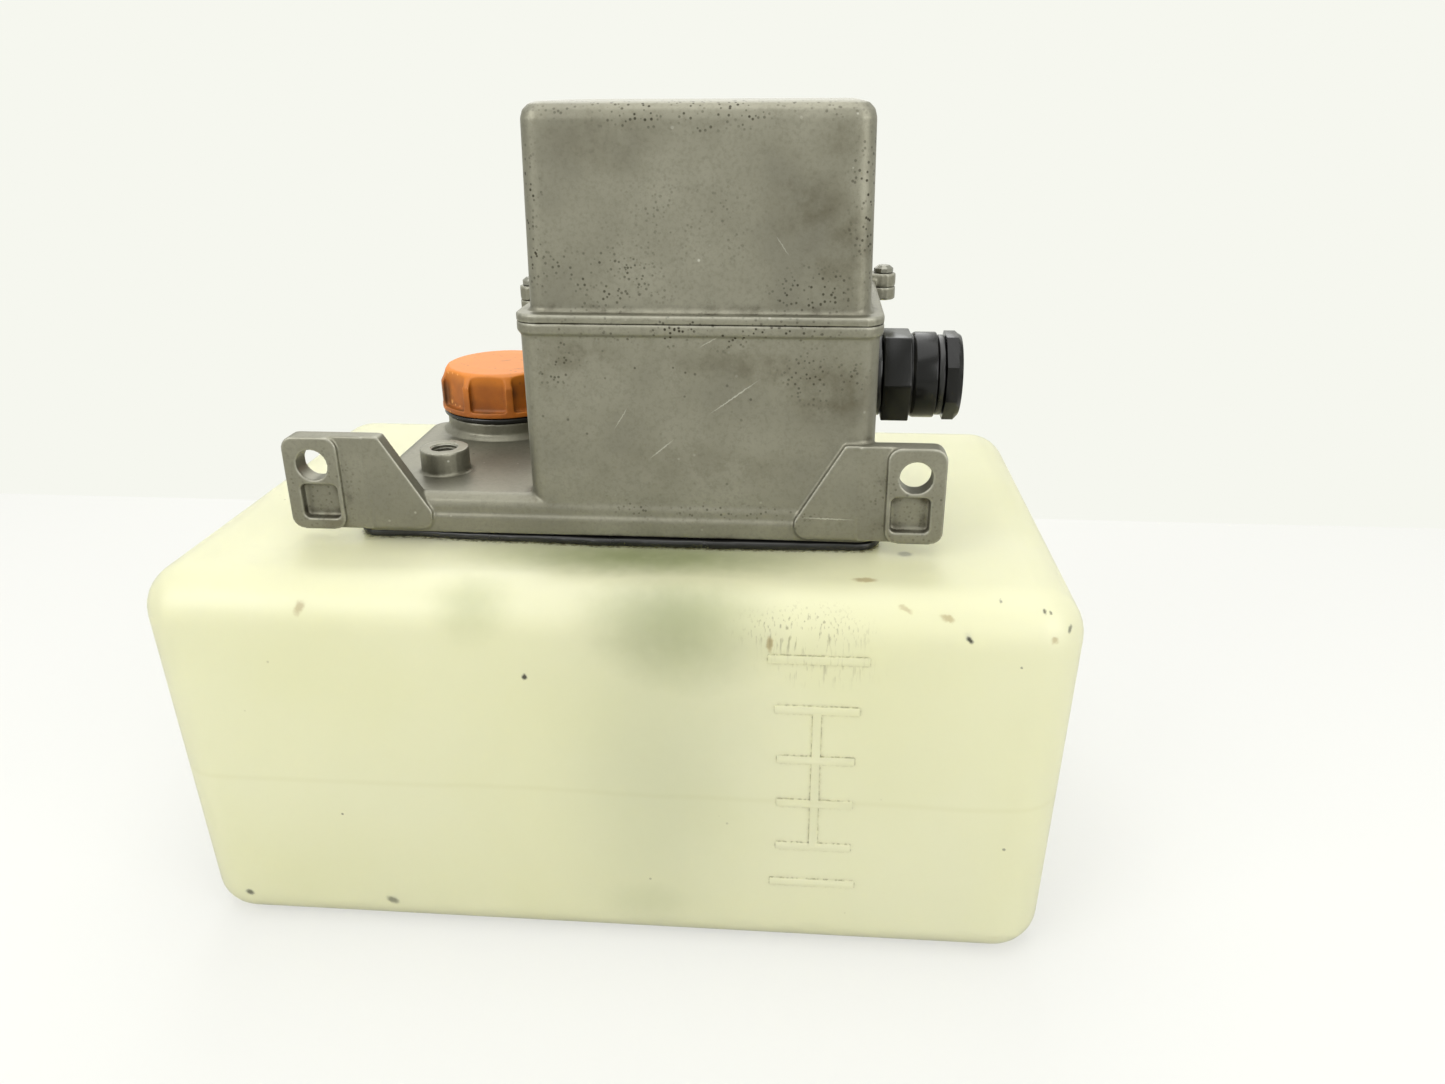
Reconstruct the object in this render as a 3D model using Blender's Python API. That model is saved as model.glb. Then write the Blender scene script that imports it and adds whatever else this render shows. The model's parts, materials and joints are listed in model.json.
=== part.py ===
import math

import bmesh
import bpy
from mathutils import Vector

MM = 0.001

# Fits
SEAT_GAP = 0.3 * MM
RUNNING_GAP = 0.35 * MM
HOLE_CLEARANCE = 0.4 * MM
OVERSHOOT = 2 * MM

# Facets of a full circle, of a corner arc and of an edge rounding
FINE_SIDES = 48
ROUND_SIDES = 24
INNER_SIDES = 16
SMALL_SIDES = 10
HEXAGON_SIDES = 24
CORNER_STEPS = 5
EDGE_STEPS = 3

# Shape of a pan head: crown and side as shares of its radius and height
PAN_CROWN_SHARE = 0.6
PAN_SIDE_SHARE = 0.55

# Tank, a blow-moulded box that narrows towards its foot
TANK_WIDTH = 330 * MM
TANK_DEPTH = 204 * MM
TANK_HEIGHT = 149 * MM
TANK_WALL = 3 * MM
TANK_DRAFT = 3.5 * MM
TANK_CORNER_RADIUS = 16 * MM
TANK_SHOULDER_RADIUS = 20 * MM
TANK_FOOT_RADIUS = 14 * MM
OPENING_WIDTH = 109 * MM
OPENING_DEPTH = 62 * MM
OPENING_RADIUS = 6 * MM
OPENING_X = 19.5 * MM

# Level scale raised on the tank's front: each bar's share of the tank's height, and its length
LEVEL_X = 75.5 * MM
LEVEL_TOP_LENGTH = 34 * MM
LEVEL_HIGH_LENGTH = 29 * MM
LEVEL_MIDDLE_LENGTH = 27 * MM
LEVEL_LOW_LENGTH = 31 * MM
LEVEL_BARS = (
    (0.852, LEVEL_TOP_LENGTH),
    (0.721, LEVEL_HIGH_LENGTH),
    (0.584, LEVEL_MIDDLE_LENGTH),
    (0.460, LEVEL_MIDDLE_LENGTH),
    (0.332, LEVEL_MIDDLE_LENGTH),
    (0.221, LEVEL_LOW_LENGTH),
)
LEVEL_BAR_HEIGHT = 3.2 * MM
LEVEL_BAR_RAISE = 0.6 * MM
LEVEL_POST_WIDTH = 3 * MM
LEVEL_POST_RAISE = 0.5 * MM

# Seal and clamp between the tank and the casting
GASKET_THICKNESS = 3 * MM
GASKET_BULGE = 0.6 * MM
CLAMP_THICKNESS = 4 * MM
CLAMP_INSET = 4 * MM
TANK_SCREW_DIAMETER = 4.8 * MM
TANK_SCREW_HEAD_DIAMETER = 9 * MM
TANK_SCREW_HEAD_HEIGHT = 3.2 * MM
TANK_SCREW_INSET = 9.8 * MM
TANK_SCREW_LEFT_X = -88 * MM
TANK_SCREW_RIGHT_X = 84 * MM
TANK_SCREW_MIDDLE_X = 38 * MM
TANK_SCREW_REAR_X = -19 * MM

# Casting: base plate, housing, flange
PAD_SETBACK = 38 * MM
BASE_WIDTH = 193 * MM
BASE_HEIGHT = 14.4 * MM
BASE_CORNER_RADIUS = 8 * MM
RIM_HEIGHT = 6.6 * MM
RIM_STEP = 1 * MM
DECK_STEP = 0.4 * MM
DECK_EDGE_RADIUS = 4 * MM
DECK_THICKNESS = 4.5 * MM
BODY_X = 31.7 * MM
BODY_FRONT_SETBACK = 4.2 * MM
BODY_WIDTH = 123.2 * MM
BODY_DEPTH = 94.8 * MM
BODY_HEIGHT = 59.4 * MM
BODY_WALL = 4 * MM
BODY_CORNER_RADIUS = 7 * MM
FLANGE_OVERHANG = 1.2 * MM
FLANGE_THICKNESS = 2.8 * MM
LUG_RADIUS = 5 * MM
LUG_HEIGHT = 4.6 * MM
LUG_REACH = 3.6 * MM
LUG_WEB_RADIUS = 0.5 * MM
LUG_LEFT_OFFSET = -1.6 * MM
LUG_RIGHT_INSET = 13 * MM

# Mounting ears
EAR_HOLE_PITCH = 215 * MM
EAR_HOLE_DIAMETER = 11.5 * MM
EAR_HOLE_DROP = 10.5 * MM
EAR_OVERHANG = 10.4 * MM
EAR_HEIGHT = 35 * MM
EAR_LIFT = 1.4 * MM
EAR_THICKNESS = 8.1 * MM
EAR_CORNER_RADIUS = 4.5 * MM
EAR_PAD_RAISE = 1.75 * MM
EAR_PAD_WIDTH = 20.3 * MM
EAR_POCKET_WIDTH = 13.5 * MM
EAR_POCKET_HEIGHT = 13 * MM
EAR_POCKET_DEPTH = 3.5 * MM
EAR_POCKET_LIFT = 4.2 * MM
EAR_POCKET_OUTER_WALL = 5 * MM
EAR_POCKET_RADIUS = 1.75 * MM
GUSSET_TOP_REACH = 35 * MM
GUSSET_TOE_REACH = 52 * MM
GUSSET_TOE_HEIGHT = 7 * MM
GUSSET_RADIUS = 1.75 * MM

# Outlet port and its drilled gallery
OUTLET_X = -69.4 * MM
OUTLET_SETBACK = 32.2 * MM
OUTLET_DIAMETER = 18.6 * MM
OUTLET_HEIGHT = 9 * MM
OUTLET_BORE = 10.4 * MM
OUTLET_DEPTH = 20 * MM
GALLERY_BORE = 5 * MM
GALLERY_LIFT = 5.2 * MM

# Filler neck, strainer and screw cap
NECK_X = -61.7 * MM
NECK_SETBACK = 94.4 * MM
NECK_DIAMETER = 50 * MM
NECK_HEIGHT = 7.2 * MM
NECK_BORE = 42 * MM
NECK_LEDGE_DEPTH = 14 * MM
STRAINER_LENGTH = 66 * MM
STRAINER_WALL = 0.9 * MM
STRAINER_RIM = 2 * MM
STRAINER_RIM_HEIGHT = 1.4 * MM
CAP_GASKET_DIAMETER = 52.6 * MM
CAP_GASKET_THICKNESS = 2 * MM
CAP_DIAMETER = 53.6 * MM
CAP_HEIGHT = 18.2 * MM
CAP_ROOF = 3 * MM
CAP_SKIRT_BAND = 1.6 * MM
CAP_CROWN = 4.2 * MM
CAP_CROWN_INSET = 4 * MM
CAP_FLUTES = 9
CAP_FLUTE_DEPTH = 2.1 * MM
CAP_FLUTE_FACETS = 6
CAP_FLUTE_SHARPNESS = 3.2
CAP_EDGE_DROP = 0.7 * MM
CAP_BROW_DROP = 2.5 * MM
CAP_BROW_INSET = 1 * MM
CAP_ARCH_DEPTH = 1.15 * MM
CAP_ARCH_HEIGHT = 1.4 * MM
CAP_LIP_FLUTE = 0.42 * MM
CAP_FIRST_RIB = math.radians(249)
CAP_PLUG_LENGTH = 10 * MM
CAP_PLUG_WALL = 3 * MM

# Cover with its gasket and screws
COVER_GASKET_THICKNESS = 0.5 * MM
COVER_GASKET_INSET = 1.5 * MM
COVER_HEIGHT = 68.7 * MM
COVER_WALL = 2.6 * MM
COVER_LEDGE = 4.5 * MM
COVER_DRAFT = 1 * MM
COVER_FLANGE_THICKNESS = 2.4 * MM
COVER_FILLET = 1.2 * MM
COVER_TOP_RADIUS = 5 * MM
COVER_CORNER_RADIUS = 6 * MM
COVER_SCREW_DIAMETER = 4 * MM
COVER_SCREW_HEAD_DIAMETER = 7.6 * MM
COVER_SCREW_HEAD_HEIGHT = 2.6 * MM
COVER_SCREW_LENGTH = 9 * MM

# Cable gland on the right wall
GLAND_OFFSET = -0.6 * MM
GLAND_LIFT = 35.4 * MM
GLAND_THREAD_DIAMETER = 24 * MM
GLAND_BORE = 14 * MM
GLAND_SEAL_DIAMETER = 31 * MM
GLAND_SEAL_THICKNESS = 3 * MM
GLAND_HEX_WIDTH = 31.4 * MM
GLAND_HEX_LENGTH = 10.2 * MM
GLAND_BARREL_DIAMETER = 32 * MM
GLAND_BARREL_LENGTH = 9.6 * MM
GLAND_SHOULDER = 1.6 * MM
GLAND_RING_DIAMETER = 30 * MM
GLAND_RING_LENGTH = 2.6 * MM
GLAND_NUT_DIAMETER = 33.6 * MM
GLAND_NUT_LENGTH = 5.8 * MM
GLAND_NUT_FLATS = 8
GLAND_NUT_CHAMFER = 1.7 * MM
GLAND_CABLE_BORE = 12 * MM
LOCKNUT_WIDTH = 30 * MM
LOCKNUT_THICKNESS = 4.5 * MM

# Piston pump under the deck
PUMP_X = 10 * MM
PUMP_OFFSET = -0.6 * MM
PUMP_BORE = 16 * MM
PUMP_BARREL_DIAMETER = 34 * MM
PUMP_FLANGE_DIAMETER = 54 * MM
PUMP_FLANGE_THICKNESS = 4 * MM
PUMP_LENGTH = 78 * MM
PUMP_FLOOR = 5 * MM
PUMP_INLET_BORE = 10 * MM
PUMP_SCREW_DIAMETER = 4 * MM
PUMP_SCREW_HEAD_DIAMETER = 7 * MM
PUMP_SCREW_HEAD_HEIGHT = 2.6 * MM
PORT_BOSS_DIAMETER = 16 * MM
PORT_BOSS_LENGTH = 4 * MM
PORT_BORE = 5 * MM
PORT_LIFT = 10 * MM
VALVE_DIAMETER = 14 * MM
VALVE_LENGTH = 11 * MM
VALVE_SEAT_BORE = 4.4 * MM
VALVE_SEAT_LENGTH = 3 * MM
VALVE_CHAMBER_BORE = 8.6 * MM
VALVE_BALL_DIAMETER = 6 * MM
INLET_TUBE_DIAMETER = 13 * MM
SUCTION_FLOOR_SPACE = 13.3 * MM
SUCTION_STRAINER_DIAMETER = 36 * MM
SUCTION_STRAINER_HEIGHT = 22 * MM
SUCTION_STRAINER_WALL = 1.2 * MM
PIPE_DIAMETER = 6 * MM
PIPE_RUN_OUT = 9 * MM
PIPE_BEND = 10 * MM
PIPE_BEND_SHARE = 0.9

# Piston, rod and return spring
STROKE = 12 * MM
PISTON_LENGTH = 14 * MM
PISTON_DROP = 36 * MM
ROD_DIAMETER = 9 * MM
FOLLOWER_RADIUS = 5 * MM
FOLLOWER_LIFT = 30 * MM
FOLLOWER_START = math.radians(-30)
FOLLOWER_SWEEP = math.radians(110)
FOLLOWER_STEPS = 5
COLLAR_DIAMETER = 19 * MM
COLLAR_THICKNESS = 3 * MM
COLLAR_DROP = 7 * MM
SPRING_DIAMETER = 18 * MM
SPRING_WIRE = 1.6 * MM
SPRING_TURNS = 4.5
SPRING_POINTS_PER_TURN = 10

# Snail cam, gear case, motor and bracket
CAM_BASE_RADIUS = 14 * MM
CAM_THICKNESS = 8 * MM
CAM_SWEEP = math.radians(300)
CAM_STEP_LEAD = math.radians(30)
CAM_POINTS = 36
SHAFT_DIAMETER = 8 * MM
SHAFT_NOSE = 3 * MM
BRACKET_THICKNESS = 3 * MM
BRACKET_WIDTH = 58 * MM
BRACKET_HEIGHT = 72 * MM
BRACKET_SCREW_SPACE = 6 * MM
BRACKET_COLLAR_SPACE = 1 * MM
GEAR_CASE_WIDTH = 50 * MM
GEAR_CASE_HEIGHT = 54 * MM
GEAR_CASE_LENGTH = 12 * MM
GEAR_CASE_RADIUS = 6 * MM
MOTOR_DIAMETER = 46 * MM
MOTOR_REAR_SPACE = 1 * MM
MOTOR_EDGE = 2.5 * MM
BRACKET_SCREW_DIAMETER = 4 * MM
BRACKET_SCREW_HEAD_DIAMETER = 7 * MM
BRACKET_SCREW_HEAD_HEIGHT = 2.6 * MM
BRACKET_SCREW_PITCH = 40 * MM

# Level float
FLOAT_PUMP_SPACE = 2 * MM
FLOAT_STEM_DIAMETER = 6 * MM
FLOAT_HEAD_DIAMETER = 16 * MM
FLOAT_HEAD_THICKNESS = 5 * MM
FLOAT_DIAMETER = 22 * MM
FLOAT_HEIGHT = 26 * MM
FLOAT_TRAVEL = 85 * MM
FLOAT_HEAD_SPACE = 5 * MM
FLOAT_STOP_DIAMETER = 11 * MM
FLOAT_STOP_THICKNESS = 2.4 * MM
FLOAT_NUT_WIDTH = 11 * MM
FLOAT_NUT_THICKNESS = 3.5 * MM
FLOAT_THREAD_LENGTH = 10 * MM

# Terminal block on the housing floor
TERMINAL_X = 68 * MM
TERMINAL_SETBACK = 34 * MM
TERMINAL_WIDTH = 34 * MM
TERMINAL_DEPTH = 18 * MM
TERMINAL_HEIGHT = 15 * MM
TERMINAL_STEP = 6 * MM

# Heights and depths that follow from the sizes above
PAD_Y = -TANK_DEPTH / 2 + PAD_SETBACK
GASKET_Z = TANK_HEIGHT + SEAT_GAP
BASE_Z = GASKET_Z + GASKET_THICKNESS + SEAT_GAP
DECK_Z = BASE_Z + BASE_HEIGHT
ROOF_Z = DECK_Z - DECK_THICKNESS
FLANGE_Z = DECK_Z + BODY_HEIGHT
PARTING_Z = FLANGE_Z + FLANGE_THICKNESS
COVER_GASKET_Z = PARTING_Z + SEAT_GAP
COVER_Z = COVER_GASKET_Z + COVER_GASKET_THICKNESS + SEAT_GAP
LUG_TOP_Z = COVER_Z + LUG_HEIGHT
EAR_Z = BASE_Z + EAR_LIFT
BODY_FRONT_Y = PAD_Y + BODY_FRONT_SETBACK
BODY_Y = BODY_FRONT_Y + BODY_DEPTH / 2
BODY_RIGHT_X = BODY_X + BODY_WIDTH / 2
OPENING_Y = BODY_Y
OUTLET_Y = PAD_Y + OUTLET_SETBACK
NECK_Y = PAD_Y + NECK_SETBACK
NECK_TOP_Z = DECK_Z + NECK_HEIGHT
NECK_LEDGE_Z = NECK_TOP_Z - NECK_LEDGE_DEPTH
CAP_GASKET_Z = NECK_TOP_Z + SEAT_GAP
CAP_Z = CAP_GASKET_Z + CAP_GASKET_THICKNESS + SEAT_GAP
GLAND_Y = BODY_Y + GLAND_OFFSET
PUMP_Y = BODY_Y + PUMP_OFFSET
PUMP_TOP_Z = ROOF_Z - SEAT_GAP
PUMP_FOOT_Z = PUMP_TOP_Z - PUMP_LENGTH
INLET_VALVE_Z = PUMP_FOOT_Z - SEAT_GAP - VALVE_LENGTH
SUCTION_TUBE_Z = TANK_WALL + SUCTION_FLOOR_SPACE + SUCTION_STRAINER_HEIGHT + SEAT_GAP
INLET_TUBE_LENGTH = INLET_VALVE_Z - SEAT_GAP - SUCTION_TUBE_Z
FLOAT_STEM_LENGTH = (FLOAT_HEAD_THICKNESS + FLOAT_HEAD_SPACE + FLOAT_TRAVEL + FLOAT_HEIGHT + SEAT_GAP
                     + 2 * FLOAT_STOP_THICKNESS)
FLOAT_X = PUMP_X + PUMP_FLANGE_DIAMETER / 2 + FLOAT_PUMP_SPACE + FLOAT_HEAD_DIAMETER / 2
GALLERY_Z = BASE_Z + GALLERY_LIFT
CAM_Z = DECK_Z + FOLLOWER_LIFT + CAM_BASE_RADIUS
GLAND_Z = DECK_Z + GLAND_LIFT
TANK_SCREW_TIP_Z = TANK_HEIGHT - TANK_WALL - SEAT_GAP - CLAMP_THICKNESS - OVERSHOOT

# Screw places on the base plate: left pair ends outside the housing, the rest stand on its floor
SCREW_FRONT_Y = PAD_Y + BODY_FRONT_SETBACK + TANK_SCREW_INSET
SCREW_REAR_Y = BODY_FRONT_Y + BODY_DEPTH - TANK_SCREW_INSET
TANK_SCREW_PLACES = {
    "tank_screw_front_left": (TANK_SCREW_LEFT_X, SCREW_FRONT_Y),
    "tank_screw_front_middle": (TANK_SCREW_MIDDLE_X, SCREW_FRONT_Y),
    "tank_screw_front_right": (TANK_SCREW_RIGHT_X, SCREW_FRONT_Y),
    "tank_screw_rear_left": (TANK_SCREW_REAR_X, SCREW_REAR_Y),
    "tank_screw_rear_middle": (TANK_SCREW_MIDDLE_X, SCREW_REAR_Y),
    "tank_screw_rear_right": (TANK_SCREW_RIGHT_X, SCREW_REAR_Y),
}
PUMP_SCREW_OFFSET = (PUMP_BARREL_DIAMETER + PUMP_FLANGE_DIAMETER) / 4
PUMP_SCREW_PLACES = {
    "pump_screw_left": PUMP_X - PUMP_SCREW_OFFSET,
    "pump_screw_right": PUMP_X + PUMP_SCREW_OFFSET,
}
BRACKET_Y = PUMP_Y + COLLAR_DIAMETER / 2 + BRACKET_COLLAR_SPACE
BRACKET_END_Y = SCREW_REAR_Y - TANK_SCREW_HEAD_DIAMETER / 2 - BRACKET_SCREW_SPACE
BRACKET_FOOT = BRACKET_END_Y - BRACKET_Y - BRACKET_THICKNESS
BRACKET_SCREW_Y = BRACKET_Y + BRACKET_THICKNESS + BRACKET_FOOT / 2
BRACKET_SCREW_PLACES = {
    "bracket_screw_left": PUMP_X - BRACKET_SCREW_PITCH / 2,
    "bracket_screw_right": PUMP_X + BRACKET_SCREW_PITCH / 2,
}
FLANGE_WIDTH = BODY_WIDTH + 2 * FLANGE_OVERHANG
FLANGE_DEPTH = BODY_DEPTH + 2 * FLANGE_OVERHANG
LUG_PLACES = {
    "left": (BODY_X - FLANGE_WIDTH / 2 - LUG_REACH, BODY_Y + LUG_LEFT_OFFSET),
    "right": (BODY_X + FLANGE_WIDTH / 2 + LUG_REACH, BODY_FRONT_Y + BODY_DEPTH - LUG_RIGHT_INSET),
}

# Colour, roughness and metallic value of each material
MATERIALS = {
    "tank_polyethylene": ("EDEBC6", 0.45, 0.0),
    "cast_aluminium": ("8F8E80", 0.5, 0.8),
    "black_rubber": ("1B1C1C", 0.75, 0.0),
    "orange_plastic": ("DB861F", 0.45, 0.0),
    "black_plastic": ("202122", 0.4, 0.0),
    "zinc_plated_steel": ("A9AAA4", 0.35, 1.0),
    "brass": ("B08D45", 0.35, 1.0),
    "steel_mesh": ("9A9B98", 0.4, 1.0),
    "copper_pipe": ("B06A42", 0.35, 1.0),
    "pale_plastic": ("D8D4C4", 0.5, 0.0),
    "motor_steel": ("6E7072", 0.4, 1.0),
}


def linear(channel):
    return channel / 12.92 if channel <= 0.04045 else ((channel + 0.055) / 1.055) ** 2.4


def make_material(name):
    code, roughness, metallic = MATERIALS[name]
    colour = [linear(int(code[at:at + 2], 16) / 255) for at in (0, 2, 4)]
    material = bpy.data.materials.new(name)
    material.use_nodes = True
    shader = material.node_tree.nodes["Principled BSDF"]
    shader.inputs["Base Color"].default_value = (*colour, 1)
    shader.inputs["Roughness"].default_value = roughness
    shader.inputs["Metallic"].default_value = metallic
    return material


def add_object(name, data, material=None):
    part = bpy.data.objects.new(name, data)
    bpy.context.scene.collection.objects.link(part)
    if material:
        data.materials.append(bpy.data.materials.get(material) or make_material(material))
    return part


# Ring shapes: lists of points in the XY plane

def circle(radius, sides):
    angles = [2 * math.pi * step / sides for step in range(sides)]
    return [(radius * math.cos(angle), radius * math.sin(angle)) for angle in angles]


def corner_arc(previous, corner, following, radius, steps):
    to_previous = (Vector(previous) - Vector(corner)).normalized()
    to_following = (Vector(following) - Vector(corner)).normalized()
    half = to_previous.angle(to_following) / 2
    reach = radius / math.tan(half)
    centre = Vector(corner) + (to_previous + to_following).normalized() * radius / math.sin(half)
    start = Vector(corner) + to_previous * reach - centre
    end = Vector(corner) + to_following * reach - centre
    sweep = start.angle_signed(end)
    turn = -sweep / steps
    points = []
    for step in range(steps + 1):
        angle = math.atan2(start.y, start.x) + turn * step
        points.append((centre.x + radius * math.cos(angle), centre.y + radius * math.sin(angle)))
    return points


def rounded_outline(corners, steps=CORNER_STEPS):
    points = []
    for index, (x, y, radius) in enumerate(corners):
        previous = corners[index - 1][:2]
        following = corners[(index + 1) % len(corners)][:2]
        points.extend(corner_arc(previous, (x, y), following, radius, steps))
    return points


def rounded_rectangle(width, depth, radius, steps=CORNER_STEPS):
    x = width / 2
    y = depth / 2
    return rounded_outline([(x, y, radius), (-x, y, radius), (-x, -y, radius), (x, -y, radius)], steps)


def at_height(outline, z):
    return [(x, y, z) for x, y in outline]


# Solids through a run of rings; a run that comes back to its start needs no end caps

def loft(name, rings, material=None, ring_shaped=False):
    mesh = bpy.data.meshes.new(name)
    builder = bmesh.new()
    rows = [[builder.verts.new(point) for point in ring] for ring in rings]
    if ring_shaped:
        pairs = list(zip(rows, rows[1:] + rows[:1]))
    else:
        pairs = list(zip(rows, rows[1:]))
        builder.faces.new(rows[0])
        builder.faces.new(rows[-1])
    for lower, upper in pairs:
        for index in range(len(lower)):
            following = (index + 1) % len(lower)
            builder.faces.new((lower[index], lower[following], upper[following], upper[index]))
    bmesh.ops.recalc_face_normals(builder, faces=builder.faces)
    builder.to_mesh(mesh)
    builder.free()
    return add_object(name, mesh, material)


def prism(name, outline, bottom, top, material=None):
    return loft(name, [at_height(outline, bottom), at_height(outline, top)], material)


def revolve(name, profile, sides, material=None, ring_shaped=False):
    rings = [at_height(circle(radius, sides), z) for radius, z in profile]
    return loft(name, rings, material, ring_shaped)


def tube(name, outer, inner, bottom, top, sides, material=None):
    profile = [(outer, bottom), (outer, top), (inner, top), (inner, bottom)]
    return revolve(name, profile, sides, material, ring_shaped=True)


def place(part, x, y, z=0.0, rotation=(0.0, 0.0, 0.0)):
    part.location = (x, y, z)
    part.rotation_euler = rotation
    return part


ALONG_X = (0.0, math.pi / 2, 0.0)
AGAINST_X = (0.0, -math.pi / 2, 0.0)
ALONG_Y = (-math.pi / 2, 0.0, 0.0)
FACING_FRONT = (math.pi / 2, 0.0, 0.0)


def combine(target, tool, operation):
    modifier = target.modifiers.new(tool.name, "BOOLEAN")
    modifier.operation = operation
    modifier.object = tool
    tool.hide_render = True
    tool.display_type = "WIRE"


def join(target, tool):
    combine(target, tool, "UNION")


def cut(target, tool):
    combine(target, tool, "DIFFERENCE")


def drill(target, name, diameter, x, y, bottom, top, sides=SMALL_SIDES):
    half_facet = (0.0, 0.0, math.pi / sides)
    cut(target, place(prism(name, circle(diameter / 2, sides), bottom, top), x, y, 0.0, half_facet))


def edge_rounding(radius, steps=EDGE_STEPS):
    angles = [math.pi / 2 * step / steps for step in range(steps + 1)]
    return [(radius * (1 - math.cos(angle)), radius * math.sin(angle)) for angle in angles]


# Tank

def tank_ring(z, inset):
    narrowing = TANK_DRAFT * (TANK_HEIGHT - z) / TANK_HEIGHT + inset
    outline = rounded_rectangle(TANK_WIDTH - 2 * narrowing, TANK_DEPTH - 2 * narrowing,
                                TANK_CORNER_RADIUS - inset / 2)
    return at_height(outline, z)


def tank_skin(name, offset, material=None):
    foot = TANK_FOOT_RADIUS - offset / 2
    shoulder = TANK_SHOULDER_RADIUS - offset / 2
    floor = offset
    top = TANK_HEIGHT - offset
    rings = []
    for inset, rise in edge_rounding(foot)[::-1]:
        rings.append(tank_ring(floor + foot - rise, offset + inset))
    for inset, rise in edge_rounding(shoulder, CORNER_STEPS):
        rings.append(tank_ring(top - shoulder + rise, offset + inset))
    return loft(name, rings, material)


def opening_outline(growth=0.0):
    return rounded_rectangle(OPENING_WIDTH + growth, OPENING_DEPTH + growth, OPENING_RADIUS)


def drill_tank_screw_holes(target, tag, bottom, top):
    for name, (x, y) in TANK_SCREW_PLACES.items():
        drill(target, f"{name}_{tag}", TANK_SCREW_DIAMETER + 2 * HOLE_CLEARANCE, x, y, bottom, top)


def filler_bore():
    return NECK_BORE - 2 * STRAINER_RIM


def tank_front(z):
    return -TANK_DEPTH / 2 + TANK_DRAFT * (TANK_HEIGHT - z) / TANK_HEIGHT


def add_level_bar(tank, name, length, low, high, proud):
    half = length / 2
    rings = []
    for z in (low, high):
        front = tank_front(z) - proud
        back = tank_front(z) + TANK_WALL / 2
        rings.append([(LEVEL_X - half, front, z), (LEVEL_X + half, front, z),
                      (LEVEL_X + half, back, z), (LEVEL_X - half, back, z)])
    join(tank, loft(name, rings))


def add_level_scale(tank):
    heights = [share * TANK_HEIGHT for share, length in LEVEL_BARS]
    for index, (share, length) in enumerate(LEVEL_BARS):
        low = heights[index] - LEVEL_BAR_HEIGHT / 2
        add_level_bar(tank, f"level_bar_{index}", length, low, low + LEVEL_BAR_HEIGHT, LEVEL_BAR_RAISE)
    add_level_bar(tank, "level_post", LEVEL_POST_WIDTH, heights[-2], heights[1], LEVEL_POST_RAISE)


def build_tank():
    tank = tank_skin("tank", 0.0, "tank_polyethylene")
    cut(tank, tank_skin("tank_hollow", TANK_WALL))
    bottom = TANK_HEIGHT - TANK_WALL - OVERSHOOT
    top = TANK_HEIGHT + OVERSHOOT
    cut(tank, place(prism("tank_opening", opening_outline(), bottom, top), OPENING_X, OPENING_Y))
    drill(tank, "tank_filler_hole", filler_bore(), NECK_X, NECK_Y, bottom, top, ROUND_SIDES)
    drill_tank_screw_holes(tank, "in_tank", bottom, top)
    add_level_scale(tank)


# Rubber seal that follows the foot of the casting, and the steel frame that clamps it from inside the tank

def base_outline(growth):
    width = BASE_WIDTH + 2 * growth
    depth = BODY_DEPTH + 2 * RIM_STEP + 2 * growth
    return rounded_rectangle(width, depth, BASE_CORNER_RADIUS + growth)


def foot_plate(name, growth, bottom, top, material):
    plate = place(prism(name, base_outline(growth), bottom, top, material), 0, BODY_Y)
    lobe = prism(f"{name}_lobe", circle(NECK_DIAMETER / 2 + growth, ROUND_SIDES), bottom, top)
    join(plate, place(lobe, NECK_X, NECK_Y))
    low = bottom - OVERSHOOT
    high = top + OVERSHOOT
    cut(plate, place(prism(f"{name}_opening", opening_outline(), low, high), OPENING_X, OPENING_Y))
    drill(plate, f"{name}_filler_hole", filler_bore(), NECK_X, NECK_Y, low, high, ROUND_SIDES)
    drill_tank_screw_holes(plate, f"in_{name}", low, high)
    return plate


def build_seal_and_clamp():
    foot_plate("tank_gasket", GASKET_BULGE, GASKET_Z, GASKET_Z + GASKET_THICKNESS, "black_rubber")
    clamp_top = TANK_HEIGHT - TANK_WALL - SEAT_GAP
    foot_plate("clamp_frame", -CLAMP_INSET, clamp_top - CLAMP_THICKNESS, clamp_top, "zinc_plated_steel")


def pan_head_screw(name, diameter, head_diameter, head_height, length, material="zinc_plated_steel"):
    radius = head_diameter / 2
    profile = [(radius * PAN_CROWN_SHARE, head_height), (radius, head_height * PAN_SIDE_SHARE), (radius, 0.0),
               (diameter / 2, 0.0), (diameter / 2, -length)]
    return revolve(name, profile, SMALL_SIDES, material)


def build_tank_screws():
    seat = DECK_Z + SEAT_GAP
    for name, (x, y) in TANK_SCREW_PLACES.items():
        screw = pan_head_screw(name, TANK_SCREW_DIAMETER, TANK_SCREW_HEAD_DIAMETER,
                               TANK_SCREW_HEAD_HEIGHT, seat - TANK_SCREW_TIP_Z)
        place(screw, x, y, seat)


# Casting

def housing_cup():
    inner = rounded_rectangle(BODY_WIDTH - 2 * BODY_WALL, BODY_DEPTH - 2 * BODY_WALL,
                              BODY_CORNER_RADIUS - BODY_WALL / 2)
    wall = rounded_rectangle(BODY_WIDTH, BODY_DEPTH, BODY_CORNER_RADIUS)
    flange = rounded_rectangle(FLANGE_WIDTH, FLANGE_DEPTH, BODY_CORNER_RADIUS + FLANGE_OVERHANG)
    rings = [at_height(wall, DECK_Z - DECK_THICKNESS), at_height(wall, FLANGE_Z - FLANGE_OVERHANG),
             at_height(flange, FLANGE_Z), at_height(flange, PARTING_Z),
             at_height(inner, PARTING_Z), at_height(inner, DECK_Z)]
    return place(loft("pump_body", rings, "cast_aluminium"), BODY_X, BODY_Y)


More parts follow.
